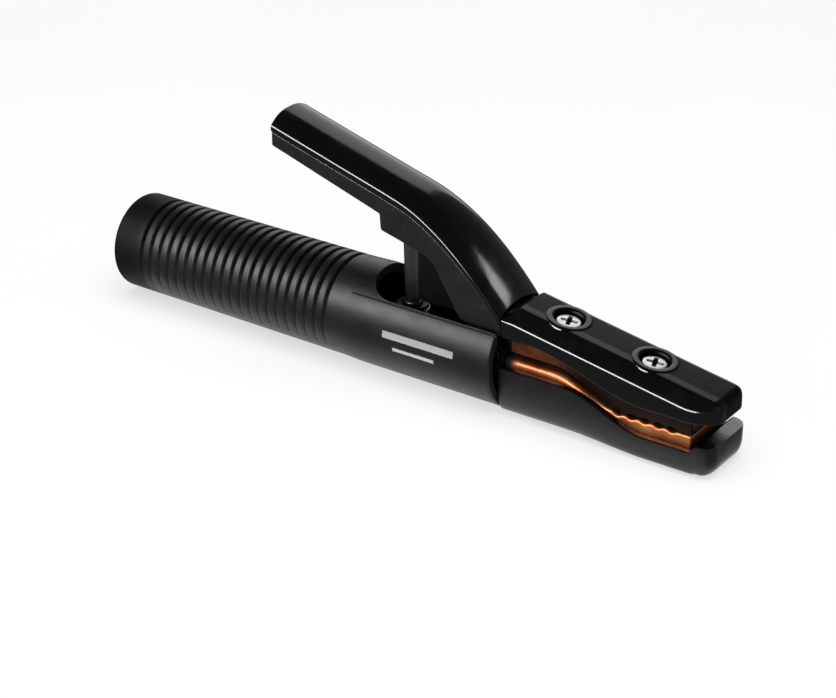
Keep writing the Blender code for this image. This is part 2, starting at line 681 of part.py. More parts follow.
def lever_body():
    """The lower moulding of the squeeze lever, with the spring post and its stiffening web."""
    stations = [LEVER_REAR + 0.3, -30.0, -7.5, -7.4, 0.0, 8.0, 16.0, 22.0, 29.5, 38.0, LEVER_FRONT]
    rings = []
    for x in stations:
        high = lever_edge(x) - LEVER_LIP - GAP
        rings.append(body_ring(x, lever_half_width(x) - 0.25, interpolate(LEVER_UNDERSIDE, x), high))
    part = loft("lever_body", rings, PARTS)
    web = [
        (SPRING_X, WEB_BOTTOM),
        (28.0, WEB_BOTTOM),
        (31.0, 14.8),
        (18.0, 37.0),
        (SPRING_X, 41.5),
    ]
    add(part, plate("web", web, WEB_HALF_WIDTH, CUTTERS))
    collar = SPRING_TOP + SPRING_CAP_THICKNESS + 2 * GAP
    post = [
        (0.0, 42.0),
        (POST_ROOT_RADIUS, 42.0),
        (POST_RADIUS, collar + POST_COLLAR_HEIGHT + 0.3),
        (POST_COLLAR_RADIUS, collar + POST_COLLAR_HEIGHT),
        (POST_COLLAR_RADIUS, collar),
        (POST_RADIUS, collar),
        (POST_RADIUS, POST_TIP + 1.5),
        (POST_RADIUS - 1.2, POST_TIP),
        (0.0, POST_TIP),
    ]
    add(part, turned("post", post, (SPRING_X, 0, 0), (0, 0, 1), CUTTERS, 24))
    rings = [body_ring(x, ARM_HALF_WIDTH + GAP, low, lever_edge(x) + 5.0) for x, low in ARM_CHANNEL]
    cut(part, loft("arm_channel", rings, CUTTERS))
    cut(part, rod("cover_screw_hole", *cover_screw_line(-3.0, 6.0), 2.3, CUTTERS, 24))
    cut(part, rod("cover_screw_recess", *cover_screw_line(-4.0, 1.6), 4.0, CUTTERS, 24))
    return finish_part(part, BLACK_SATIN)


def phillips_cutter(name, top, direction, size, depth):
    """A tapered cross for the recess in a screw's head."""
    arm = size * 0.22
    builder = bmesh.new()
    outline = []
    for quarter in range(4):
        angle = quarter * math.pi / 2.0
        for x, y in ((size, -arm), (size, arm), (arm, arm)):
            cos_a, sin_a = math.cos(angle), math.sin(angle)
            outline.append((x * cos_a - y * sin_a, x * sin_a + y * cos_a))
    rows = []
    for height, shrink in ((0.5, 1.0), (0.0, 1.0), (-depth, 0.55)):
        rows.append([builder.verts.new((x * shrink * MM, y * shrink * MM, height * MM)) for x, y in outline])
    for near, far in zip(rows, rows[1:]):
        for i in range(len(near)):
            j = (i + 1) % len(near)
            builder.faces.new((near[i], near[j], far[j], far[i]))
    builder.faces.new(rows[0])
    builder.faces.new(rows[-1])
    turn = Vector(direction).to_track_quat("Z", "Y").to_matrix().to_4x4()
    bmesh.ops.transform(builder, matrix=Matrix.Translation(place(*top)) @ turn, verts=builder.verts)
    return mesh_from(name, builder, CUTTERS)


def flat_head_screw(name, top, direction, length, head=(SCREW_HEAD_RADIUS, SCREW_HEAD_DEPTH), shank=2.5):
    """A flat-head screw with a cross recess. top is the middle of its head's face."""
    head_radius, head_depth = head
    profile = [
        (0.0, 0.0),
        (head_radius - 0.3, 0.0),
        (head_radius, -0.3),
        (head_radius, -head_depth * 0.4),
        (shank, -head_depth),
        (shank, -length + 0.6),
        (shank - 0.6, -length),
        (0.0, -length),
    ]
    part = turned(name, profile, top, direction, PARTS, 32)
    cut(part, phillips_cutter(name + "_cross", top, direction, head_radius * 0.55, 1.6))
    return finish_part(part, BRIGHT_STEEL, smooth=True)


def jaw_screws():
    tilt = math.atan(JAW_SLOPE)
    for label, x in zip(("rear", "front"), UPPER_SCREWS):
        top = along_screw(x, -SCREW_HEAD_SINK)
        direction = (math.sin(tilt), 0, math.cos(tilt))
        flat_head_screw("upper_jaw_screw_" + label, top, direction, UPPER_SCREW_LENGTH)
    for label, x in zip(("rear", "front"), LOWER_SCREWS):
        flat_head_screw("lower_jaw_screw_" + label, (x, 0, -AXIS_HEIGHT + 0.6), (0, 0, -1), 10.5)


def small_screws():
    flat_head_screw("handle_lock_screw", (LOCK_SCREW_X, 0, -AXIS_HEIGHT + 0.2), (0, 0, -1), 11.5, (4.1, 1.2))
    top, bottom = cover_screw_line(0.5, 6.5)
    direction = Vector(top) - Vector(bottom)
    flat_head_screw("lever_cover_screw", top, direction, 7.0, (3.6, 1.0), 2.0)


def clamp_screws():
    """Two grub screws that press the sleeve onto the cable."""
    low = SOCKET_BORE_RADIUS - 0.1
    for label, x in zip(("rear", "front"), CLAMP_SCREWS):
        profile = [
            (0.0, CLAMP_SCREW_TOP - 3.5),
            (2.2, CLAMP_SCREW_TOP - 3.5),
            (2.2, CLAMP_SCREW_TOP),
            (CLAMP_SCREW_RADIUS - 0.5, CLAMP_SCREW_TOP),
            (CLAMP_SCREW_RADIUS, CLAMP_SCREW_TOP - 0.5),
            (CLAMP_SCREW_RADIUS, low + 0.8),
            (CLAMP_SCREW_RADIUS - 0.8, low),
            (0.0, low),
        ]
        part = turned("cable_clamp_screw_" + label, profile, (x, 0, 0), (0, 0, 1), PARTS, 24)
        finish_part(part, BRIGHT_STEEL, smooth=True)


def cable_sleeve():
    outer = SOCKET_BORE_RADIUS - GAP
    rear = SOCKET_REAR - 1.0
    front = SOCKET_BORE_END - 2.0
    profile = [(outer, front), (outer, rear), (outer - SLEEVE_WALL, rear), (outer - SLEEVE_WALL, front)]
    return finish_part(turned("cable_sleeve", profile, (0, 0, 0), (1, 0, 0), PARTS, 28), COPPER, smooth=True)


def pivot_pieces():
    head = EAR_HALF_WIDTH + GAP
    end = EAR_HALF_WIDTH + 2.2
    profile = [
        (0.0, end),
        (PIN_RADIUS - 0.4, end),
        (PIN_RADIUS, end - 0.4),
        (PIN_RADIUS, -head),
        (PIN_HEAD_RADIUS, -head),
        (PIN_HEAD_RADIUS, -head - PIN_HEAD_THICKNESS + 0.4),
        (PIN_HEAD_RADIUS - 0.4, -head - PIN_HEAD_THICKNESS),
        (0.0, -head - PIN_HEAD_THICKNESS),
    ]
    pin = turned("pivot_pin", profile, (PIVOT_X, 0, PIVOT_Z), (0, 1, 0), PARTS, 32)
    finish_part(pin, BRIGHT_STEEL, smooth=True)
    inner = PIN_RADIUS + 0.15
    clip = [(6.3, head + 1.0), (6.3, head), (inner, head), (inner, head + 1.0)]
    ring = turned("pivot_clip", clip, (PIVOT_X, 0, PIVOT_Z), (0, 1, 0), PARTS, 28)
    finish_part(ring, SPRING_STEEL, smooth=True)


def spring_pieces():
    curve = bpy.data.curves.new("spring", "CURVE")
    curve.dimensions = "3D"
    curve.bevel_depth = SPRING_WIRE * MM
    curve.bevel_resolution = 2
    curve.use_fill_caps = True
    spline = curve.splines.new("POLY")
    steps_per_turn = 18
    count = SPRING_TURNS * steps_per_turn + 1
    spline.points.add(count - 1)
    low = SPRING_BOTTOM + SPRING_WIRE
    rise = SPRING_TOP - SPRING_WIRE - low
    for i, point in enumerate(spline.points):
        angle = math.tau * i / steps_per_turn
        height = (low + rise * i / (count - 1)) * MM
        point.co = (SPRING_RADIUS * MM * math.cos(angle), SPRING_RADIUS * MM * math.sin(angle), height, 1.0)
    coil = bpy.data.objects.new("spring", curve)
    coil.location = place(SPRING_X, 0, 0)
    PARTS.objects.link(coil)
    curve.materials.append(make_material("spring", SPRING_STEEL))
    seat = [(7.6, -9.2), (7.6, -10.7), (2.5, -10.7), (2.5, -9.2)]
    finish_part(turned("spring_seat", seat, (SPRING_X, 0, 0), (0, 0, 1), PARTS, 32), BLACK_SATIN, smooth=True)
    low = SPRING_TOP + GAP
    high = low + SPRING_CAP_THICKNESS
    bore = POST_RADIUS + GAP
    cap = [(SPRING_CAP_RADIUS, high), (SPRING_CAP_RADIUS, low), (bore, low), (bore, high)]
    finish_part(turned("spring_cap", cap, (SPRING_X, 0, 0), (0, 0, 1), PARTS, 32), BLACK_SATIN, smooth=True)


def gather_lever():
    """Hangs every moving piece on an empty at the pivot, so that turning it opens the jaws."""
    pivot = bpy.data.objects.new("lever_pivot", None)
    pivot.location = place(PIVOT_X, 0, PIVOT_Z)
    PARTS.objects.link(pivot)
    bpy.context.view_layer.update()
    moving = ["jaw_lever", "lever_cover", "lever_body", "lever_cover_screw", "spring_cap"]
    moving += ["upper_jaw_insulator", "upper_jaw_screw_front", "upper_jaw_screw_rear"]
    for name in moving:
        piece = bpy.data.objects[name]
        piece.parent = pivot
        piece.matrix_parent_inverse = pivot.matrix_world.inverted()


clear_scene()
PARTS = make_collection("electrode_holder")
CUTTERS = make_collection("cutters")
handle()
body_casting()
lower_jaw_insulator()
upper_jaw_insulator()
jaw_lever()
lever_cover()
lever_body()
jaw_screws()
small_screws()
clamp_screws()
cable_sleeve()
pivot_pieces()
spring_pieces()
gather_lever()
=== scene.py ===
import math

import bmesh
import bpy
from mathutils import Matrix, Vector


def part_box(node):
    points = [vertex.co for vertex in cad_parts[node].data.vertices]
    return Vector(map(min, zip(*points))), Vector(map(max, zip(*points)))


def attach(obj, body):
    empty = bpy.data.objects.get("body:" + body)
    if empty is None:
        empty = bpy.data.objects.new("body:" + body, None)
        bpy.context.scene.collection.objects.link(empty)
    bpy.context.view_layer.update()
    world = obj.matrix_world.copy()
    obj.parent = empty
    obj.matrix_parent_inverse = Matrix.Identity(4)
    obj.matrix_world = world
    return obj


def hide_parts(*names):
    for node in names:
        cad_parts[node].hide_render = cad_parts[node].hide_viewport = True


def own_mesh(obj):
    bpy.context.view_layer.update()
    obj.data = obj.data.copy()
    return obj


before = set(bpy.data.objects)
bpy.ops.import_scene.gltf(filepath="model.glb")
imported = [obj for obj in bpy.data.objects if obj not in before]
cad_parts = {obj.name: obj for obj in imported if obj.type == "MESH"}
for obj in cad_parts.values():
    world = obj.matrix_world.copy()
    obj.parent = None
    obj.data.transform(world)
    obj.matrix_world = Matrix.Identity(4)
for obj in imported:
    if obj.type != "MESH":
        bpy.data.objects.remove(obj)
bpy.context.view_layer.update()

# Shapes are written in millimetres: X along the holder from its middle, Y across, heights counted
# from the handle's axis. The pieces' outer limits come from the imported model's own boxes.
MM = 0.001


def node_box(name):
    """Lowest and highest corner of a CAD node, in millimetres, heights from the handle's axis."""
    low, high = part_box(name)
    return Vector((low.x, low.y, low.z)) / MM - LIFT, Vector((high.x, high.y, high.z)) / MM - LIFT


# The cable's sleeve lies on the handle's axis, so it gives the axis's height above the floor.
sleeve_low, sleeve_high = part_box("cable_sleeve")
AXIS = (sleeve_low.z + sleeve_high.z) / 2.0 / MM
LIFT = Vector((0.0, 0.0, AXIS))
HANDLE_LOW, HANDLE_HIGH = node_box("handle")
COVER_LOW, COVER_HIGH = node_box("lever_cover")
BODY_LOW, BODY_HIGH = node_box("lever_body")
UPPER_LOW, UPPER_HIGH = node_box("upper_jaw_insulator")
LOCK_LOW, LOCK_HIGH = node_box("handle_lock_screw")
SPRING_LOW, SPRING_HIGH = node_box("spring")
LOWER_LOW = node_box("lower_jaw_insulator")[0]
CAP_TOP = node_box("spring_cap")[1].z
COPPER_FRONT = node_box("body_casting")[1].x
NOSE = UPPER_HIGH.x
BOTTOM = LOWER_LOW.z
SPRING_X = (SPRING_LOW.x + SPRING_HIGH.x) / 2.0
LOCK_X = (LOCK_LOW.x + LOCK_HIGH.x) / 2.0

QUARTER = math.pi / 2.0

# Angles in degrees above which an edge between two faces is shaded as sharp
SHARP_SKIN = 42.0
SHARP_CUT = 36.0
SHARP_METAL = 34.0
SHARP_WIRE = 60.0


# -------- mesh helpers


def place(x, y, z):
    """A place in the scene, in metres, from millimetres and a height above the handle's axis."""
    return Vector((x, y, z + AXIS)) * MM


def smoothstep(low, high, value):
    t = min(max((value - low) / (high - low), 0.0), 1.0)
    return t * t * (3.0 - 2.0 * t)


def mix(a, b, t):
    return a + (b - a) * t


def ramp(x, start, end, before, after):
    """A value that passes smoothly from one to another between two places along X."""
    return mix(before, after, smoothstep(start, end, x))


def spread(low, high, count):
    return [low + (high - low) * i / (count - 1) for i in range(count)]


def both_sides(left):
    """A row of places with the left side's Y first, and its mirror image after it."""
    return left + [(-corner[0],) + corner[1:] for corner in reversed(left)]


def rounded(corners, steps=4):
    """A path or outline whose corners (a, b, radius) become short curves. Every corner gives
    steps + 1 points, whatever its radius, so that sections can be skinned."""
    points = []
    count = len(corners)
    for i, (a, b, radius) in enumerate(corners):
        here = Vector((a, b))
        back = Vector(corners[i - 1][:2]) - here
        ahead = Vector(corners[(i + 1) % count][:2]) - here
        reach = min(radius, back.length * 0.45, ahead.length * 0.45)
        start = here + back.normalized() * reach
        end = here + ahead.normalized() * reach
        for step in range(steps + 1):
            t = step / steps
            points.append(start * (1 - t) ** 2 + here * 2 * t * (1 - t) + end * t * t)
    return [(p.x, p.y) for p in points]


def neighbour(outline, i, way):
    """The next corner from corner i, ahead or behind, that isn't at the same place."""
    here = Vector(outline[i])
    other = here
    k = 0
    while (here - other).length < 1e-6 and k < len(outline):
        k += 1
        other = Vector(outline[(i + way * k) % len(outline)])
    return other


def inset(outline, distance):
    """An outline moved inwards along its own normals."""
    count = len(outline)
    area = sum(
        outline[i][0] * outline[(i + 1) % count][1] - outline[(i + 1) % count][0] * outline[i][1]
        for i in range(count)
    )
    side = 1.0 if area > 0.0 else -1.0
    moved = []
    for i in range(count):
        here = Vector(outline[i])
        first = (here - neighbour(outline, i, -1)).normalized()
        second = (neighbour(outline, i, 1) - here).normalized()
        normal = (Vector((-first.y, first.x)) + Vector((-second.y, second.x))) * side
        if normal.length > 1e-9:
            normal.normalize()
        moved.append((here.x + normal.x * distance, here.y + normal.y * distance))
    return moved


def link_new(name, data):
    """A new object in the scene."""
    made = bpy.data.objects.new(name, data)
    bpy.context.scene.collection.objects.link(made)
    return made


def shade(piece, sharp=SHARP_CUT):
    """Shades a piece smooth except across real edges. Booleans make it necessary again."""
    for face in piece.data.polygons:
        face.use_smooth = True
    piece.data.set_sharp_from_angle(angle=math.radians(sharp))
    return piece


def finish_mesh(name, builder, sharp=SHARP_SKIN):
    """One piece in the scene, with outward normals."""
    bmesh.ops.recalc_face_normals(builder, faces=builder.faces)
    mesh = bpy.data.meshes.new(name)
    builder.to_mesh(mesh)
    builder.free()
    return shade(link_new(name, mesh), sharp)


def skin(name, rings, sharp=SHARP_SKIN, wrap=False):
    """A closed solid skinned over rings of places; wrap joins the last ring to the first."""
    builder = bmesh.new()
    rows = [[builder.verts.new(place(*corner)) for corner in ring] for ring in rings]
    pairs = list(zip(rows, rows[1:]))
    if wrap:
        pairs.append((rows[-1], rows[0]))
    for near, far in pairs:
        for i in range(len(near)):
            j = (i + 1) % len(near)
            builder.faces.new((near[i], near[j], far[j], far[i]))
    if not wrap:
        builder.faces.new(rows[0])
        builder.faces.new(rows[-1])
    bmesh.ops.remove_doubles(builder, verts=builder.verts, dist=1e-7)
    return finish_mesh(name, builder, sharp)


def along_x(name, stations, section, start_round=0.0, end_round=0.0):
    """A solid skinned over sections across X, with rounded edges at its two ends."""
    rings = []
    steps = 4
    for limit, way, radius in ((stations[0], 1.0, start_round), (stations[-1], -1.0, end_round)):
        for step in range(steps if radius > 0.0 else 0):
            angle = QUARTER * step / steps
            x = limit + way * radius * (1.0 - math.cos(angle))
            points = inset(section(x), radius * (1.0 - math.sin(angle)))
            rings.append([(x, y, z) for y, z in points])
    start = stations[0] + start_round
    end = stations[-1] - end_round
    for x in [start] + [x for x in stations if start < x < end] + [end]:
        rings.append([(x, y, z) for y, z in section(x)])
    rings.sort(key=lambda ring: ring[0][0])
    return skin(name, rings)


def lathe(name, profile, origin, direction, segments=64):
    """A solid of revolution over (radius, distance along the axis) pairs, which run from end to
    end; a profile that stays off the axis is closed into a ring."""
    along = Vector(direction).normalized()
    turn = along.to_track_quat("Z", "Y")
    base = Vector(origin)
    on_axis = profile[0][0] == 0.0
    builder = bmesh.new()
    rows = []
    for radius, distance in profile:
        if radius == 0.0:
            spot = base + turn @ Vector((0.0, 0.0, distance))
            rows.append([builder.verts.new(place(*spot))])
            continue
        row = []
        for i in range(segments):
            angle = math.tau * i / segments
            spot = base + turn @ Vector((radius * math.cos(angle), radius * math.sin(angle), distance))
            row.append(builder.verts.new(place(*spot)))
        rows.append(row)
    pairs = list(zip(rows, rows[1:]))
    if not on_axis:
        pairs.append((rows[-1], rows[0]))
    for near, far in pairs:
        for i in range(segments):
            j = (i + 1) % segments
            if len(near) == 1:
                builder.faces.new((near[0], far[j], far[i]))
            elif len(far) == 1:
                builder.faces.new((near[i], near[j], far[0]))
            else:
                builder.faces.new((near[i], near[j], far[j], far[i]))
    return finish_mesh(name, builder)


def prism(name, outline, low, high):
    """An upright solid: an (x, y) outline between two heights."""
    rings = [[(x, y, z) for x, y in outline] for z in (low, high)]
    return skin(name, rings)


def slab(name, outline, half_width, edge):
    """An (x, z) outline as thick as two half widths across Y, with rounded rims."""
    rings = []
    steps = 3
    for side in (-1.0, 1.0):
        order = range(steps + 1) if side < 0.0 else range(steps, -1, -1)
        for step in order:
            angle = QUARTER * step / steps
            points = inset(outline, edge * (1.0 - math.sin(angle)))
            y = side * (half_width - edge * (1.0 - math.cos(angle)))
            rings.append([(x, y, z) for x, z in points])
    return skin(name, rings)


def boolean(piece, tool, operation):
    """Applies one exact boolean and removes its tool."""
    modifier = piece.modifiers.new(operation.lower(), "BOOLEAN")
    modifier.operation = operation
    modifier.solver = "EXACT"
    modifier.object = tool
    bpy.context.view_layer.update()
    evaluated = piece.evaluated_get(bpy.context.evaluated_depsgraph_get())
    mesh = bpy.data.meshes.new_from_object(evaluated)
    piece.modifiers.clear()
    old = piece.data
    piece.data = mesh
    bpy.data.meshes.remove(old)
    bpy.data.objects.remove(tool, do_unlink=True)


def cut(piece, tool):
    boolean(piece, tool, "DIFFERENCE")


def join(piece, tool):
    boolean(piece, tool, "UNION")


def copy_of(node, name):
    """A new piece with the shape of a CAD node, its flat faces merged back together."""
    builder = bmesh.new()
    builder.from_mesh(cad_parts[node].data)
    bmesh.ops.remove_doubles(builder, verts=builder.verts, dist=2e-6)
    flat = math.radians(1.0)
    bmesh.ops.dissolve_limit(builder, angle_limit=flat, verts=builder.verts, edges=builder.edges)
    return finish_mesh(name, builder)


def block(low, high):
    """A box between two corners."""
    outline = [(low[0], low[1]), (high[0], low[1]), (high[0], high[1]), (low[0], high[1])]
    return prism("tool", outline, low[2], high[2])


# -------- shapes shared by the pieces

# The upper jaw cover's flat top falls towards the nose, and its screws stand square to it.
SLOPE = 0.173
PANEL_START = 52.0
PANEL_HEIGHT = 23.8
PANEL_HALF = 8.4
TILT = math.atan(SLOPE)
SCREW_OUT = (math.sin(TILT), 0, math.cos(TILT))
SCREW_SINK = 0.9
UPPER_SCREWS = {"rear": 68.2, "front": 104.2}
LOWER_SCREWS = {"rear": 62.0, "front": 104.0}
SCREW_HOLE = 2.8

# Ramps along the holder: start, end, value before, value after
JAW_TOP_RAMP = (68.0, 97.0, 3.6, -4.75)
JAW_GAP_RAMP = (72.0, 97.0, 2.8, 0.3)
SKIRT_RAMP = (58.0, 108.0, 12.8, 1.8)
LEVER_HALF_RAMP = (-8.0, 32.0, 12.0, 13.5)
ARCH_RAMP = (0.0, 40.0, 4.3, 3.6)
HANDLE_RAMP = (-27.0, -15.0, 19.8, 20.2)
CORNER_RAMP = (55.0, 122.0, 10.5, 6.6)
COPPER_EDGE_RAMP = (84.0, 93.0, 2.8, 1.3)

# The lower trough's rim dips to show the copper and comes up again at the nose.
RIM_REAR = 0.5
RIM_LOW = -9.4
RIM_NOSE = -6.3

# The lever's top edge falls evenly towards the front and bends down past the middle.
LEVER_EDGE = 54.2
LEVER_FALL = 0.285
LEVER_BEND = 0.0098

TEETH_START = 93.0
TEETH_END = 120.6
TEETH_PITCH = 5.52
TEETH_DEPTH = 0.75


def panel(x):
    """Height of the upper jaw cover's flat top."""
    return PANEL_HEIGHT - SLOPE * (x - PANEL_START)


def along_screw(x, distance):
    """A place on an upper jaw screw's axis, so far out of the flat top."""
    return (x + distance * math.sin(TILT), 0.0, panel(x) + distance * math.cos(TILT))


def jaw_top(x):
    """Height of the lower jaw's copper."""
    return ramp(x, *JAW_TOP_RAMP)


def jaw_underside(x):
    """Height of the upper jaw's copper, whose gap to the lower jaw narrows to the front."""
    return jaw_top(x) + ramp(x, *JAW_GAP_RAMP)


def rim(x):
    dip = (RIM_LOW - RIM_REAR) * smoothstep(74.0, 108.0, x)
    return RIM_REAR + dip + (RIM_NOSE - RIM_LOW) * smoothstep(126.0, 129.7, x)


def lever_edge(x):
    return LEVER_EDGE - LEVER_FALL * x - LEVER_BEND * max(x, 0.0) ** 2


def lever_half(x):
    return ramp(x, *LEVER_HALF_RAMP)


def arch_rise(x):
    """How far the lever cover's arch stands above its edge."""
    return ramp(x, *ARCH_RAMP)


def wave(x):
    """The soft ripple of the gripping faces, 0 on its crests and 1 in its hollows."""
    if x < TEETH_START or x > TEETH_END:
        return 0.0
    return 0.5 - 0.5 * math.cos(math.tau * (x - TEETH_START) / TEETH_PITCH)


# -------- handle

TAPER_END = -28.0
REAR_RADIUS = 19.3
REAR_ROUND = 2.6
FRONT_ROUND = 0.9
BORE = 16.7
CABLE_ENTRY = 11.0
GROOVE_FIRST = -120.3
GROOVE_PITCH = 4.57
GROOVE_COUNT = 21
GROOVE_HALF = 1.05
GROOVE_DEPTH = 1.5
GROOVE_FADE = 0.9
SLOT_REAR = -12.8
SLOT_HALF = 14.5
SLOT_CORNER = 12.0
SEAM = 0.4
SEAM_START = (-18.5, 15.05, 13.45)
SEAM_LENGTH = 66.5


def handle_radius(x):
    """The handle widens evenly over its grooves and steps out softly to its plain front."""
    if x > TAPER_END:
        return ramp(x, *HANDLE_RAMP)
    swell = HANDLE_RAMP[2]
    return REAR_RADIUS + (swell - REAR_RADIUS) * (x - HANDLE_LOW.x) / (TAPER_END - HANDLE_LOW.x)


def groove(x):
    """1 at the bottom of a groove, 0 on the ribs, with soft shoulders."""
    index = round((x - GROOVE_FIRST) / GROOVE_PITCH)
    if index < 0 or index > GROOVE_COUNT - 1:
        return 0.0
    reach = abs(x - GROOVE_FIRST - index * GROOVE_PITCH) / GROOVE_HALF
    return max(1.0 - reach, 0.0) ** 2 * (1.0 + 2.0 * min(reach, 1.0))


def handle_profile():
    """Places along the handle with their radius: its skin from rear to front, then its bore and
    the cable's entry back again. Only the skin is grooved and cut flat underneath."""
    rear = HANDLE_LOW.x
    front = HANDLE_HIGH.x
    profile = []
    for step in range(9):
        angle = QUARTER * step / 8
        x = rear + REAR_ROUND * (1.0 - math.cos(angle))
        profile.append((x, handle_radius(x) - REAR_ROUND * (1.0 - math.sin(angle)), True))
    grooved = spread(-122.6, -26.6, 12 * GROOVE_COUNT + 1)
    for x in spread(-131.5, -123.2, 4) + grooved + spread(-24.0, 44.0, 24):
        profile.append((x, handle_radius(x), True))
    for step in range(6):
        angle = QUARTER * step / 5
        x = front - FRONT_ROUND * (1.0 - math.sin(angle))
        profile.append((x, handle_radius(x) - FRONT_ROUND * (1.0 - math.cos(angle)), True))
    for x, radius in (
        (front, BORE + 0.5),
        (front - 0.5, BORE),
        (0.0, BORE),
        (-60.0, BORE),
        (rear + 5.5, BORE),
        (rear + 4.5, BORE - 1.0),
        (rear + 4.5, CABLE_ENTRY + 0.4),
        (rear + 4.1, CABLE_ENTRY),
        (rear + 0.9, CABLE_ENTRY),
        (rear + 0.25, CABLE_ENTRY + 0.25),
        (rear, CABLE_ENTRY + 0.9),
    ):
        profile.append((x, radius, False))
    return profile


def build_handle():
    """The tube, then its slot, a fine seam on each side of the slot and the lock screw's seat."""
    segments = 144
    rings = []
    for x, radius, outer in handle_profile():
        ring = []
        for i in range(segments):
            angle = math.tau * i / segments
            reach = radius
            if outer:
                depth = max(GROOVE_DEPTH - GROOVE_FADE * (1.0 - math.cos(angle)), 0.0)
                reach -= depth * groove(x)
            z = max(reach * math.cos(angle), BOTTOM) if outer else reach * math.cos(angle)
            ring.append((x, reach * math.sin(angle), z))
        rings.append(ring)
    piece = skin("handle_grip", rings, wrap=True)
    past = 70.0
    corners = [
        (SLOT_REAR, -SLOT_HALF, SLOT_CORNER),
        (past, -SLOT_HALF, 0.1),
        (past, SLOT_HALF, 0.1),
        (SLOT_REAR, SLOT_HALF, SLOT_CORNER),
    ]
    cut(piece, prism("tool", rounded(corners, 14), 0.0, 40.0))
    seam = [(0.0, 0.0), (SEAM * 0.7, 0.1), (SEAM, 0.5), (SEAM, SEAM_LENGTH), (0.0, SEAM_LENGTH)]
    x, y, z = SEAM_START
    for side in (-1.0, 1.0):
        cut(piece, lathe("tool", seam, (x, side * y, z), (1, 0, 0), 16))
    head = 4.4
    seat = [(0.0, -7.0), (head, -7.0), (head, 1.5), (SCREW_HOLE, 1.5), (SCREW_HOLE, 10.0), (0.0, 10.0)]
    cut(piece, lathe("tool", seat, (LOCK_X, 0, BOTTOM), (0, 0, 1), 48))
    return shade(piece)


# -------- lever

COVER_WALL = 2.4
COVER_LIP = 2.2
ARCH_POWER = 2.6
ARCH_SHARES = (-0.9, -0.82, -0.74, -0.65, -0.55, -0.45, -0.35, -0.25, -0.15, -0.05)

# The lever's underside from its rear end to the jaws: X, height, corner radius
UNDERSIDE = (
    (-57.7, 62.6, 0.0),
    (-7.75, 46.9, 0.9),
    (-7.25, 40.5, 0.9),
    (16.0, 35.2, 4.0),
    (29.5, 14.2, 3.0),
    (46.9, 12.7, 0.0),
)

# The thin web between the post and the leg, from the side: X, height, corner radius
WEB = (
    (SPRING_X, 11.4, 0.9),
    (28.0, 11.4, 3.0),
    (31.0, 14.8, 1.0),
    (18.0, 37.0, 2.0),
    (SPRING_X, 41.5, 1.0),
)
WEB_HALF = 2.5

# The channel inside the lever, where the copper arm lies: X, height of its open side
CHANNEL = ((-46.3, 62.0), (-4.6, 48.9), (-4.4, 42.9), (17.9, 37.8), (36.0, 9.6), (48.0, 9.6))
CHANNEL_HALF = 6.3

POST = 3.7
POST_COLLAR = 3.9
POST_TIP = 2.8
COVER_SCREW_X = -30.0
COVER_SCREW_LEAN = math.atan(0.315)


def cover_section(x):
    """Arch and short sides of the lever cover, with its hollow behind the rear wall."""
    wall = COVER_WALL
    half = lever_half(x)
    edge = lever_edge(x)
    foot = edge - COVER_LIP
    arch = []
    for share in ARCH_SHARES:
        arch.append((half * share, edge + arch_rise(x) * (1.0 - abs(share) ** ARCH_POWER)))
    corners = [(-half + 1.2, foot, 0.0), (-half, foot, 0.35), (-half, edge, 0.8), arch[0] + (0.0,)]
    side = rounded(corners, 3)[4:12]
    hollow = x > COVER_LOW.x + wall
    inner = []
    steps = 12
    for step in range(steps + 1):
        angle = math.pi * step / steps
        y = (half - wall) * math.cos(angle)
        rise = (arch_rise(x) - wall) * (1.0 - abs(math.cos(angle)) ** ARCH_POWER)
        inner.append((y, edge + rise if hollow else foot))
    return both_sides(side + arch) + [(half - wall, foot)] + inner + [(-half + wall, foot)]


def build_cover():
    rear = COVER_LOW.x
    stations = [rear, rear + 0.9, rear + COVER_WALL, rear + COVER_WALL + 0.02]
    stations += spread(rear + 5.0, 0.0, 8) + spread(3.0, COVER_HIGH.x, 22)
    return along_x("lever_top_cover", stations, cover_section, 0.7, 0.3)


def underside_path():
    """The lever's underside as a line whose corners are rounded."""
    steps = 6
    inner = rounded(UNDERSIDE, steps)[steps + 1 : -steps - 1]
    return [UNDERSIDE[0][:2]] + inner + [UNDERSIDE[-1][:2]]


def height_on(path, x):
    """The height of a line of (x, height) places at one X."""
    for (x0, z0), (x1, z1) in zip(path, path[1:]):
        if x <= x1:
            return z0 if x1 - x0 < 1e-9 else mix(z0, z1, min(max((x - x0) / (x1 - x0), 0.0), 1.0))
    return path[-1][1]


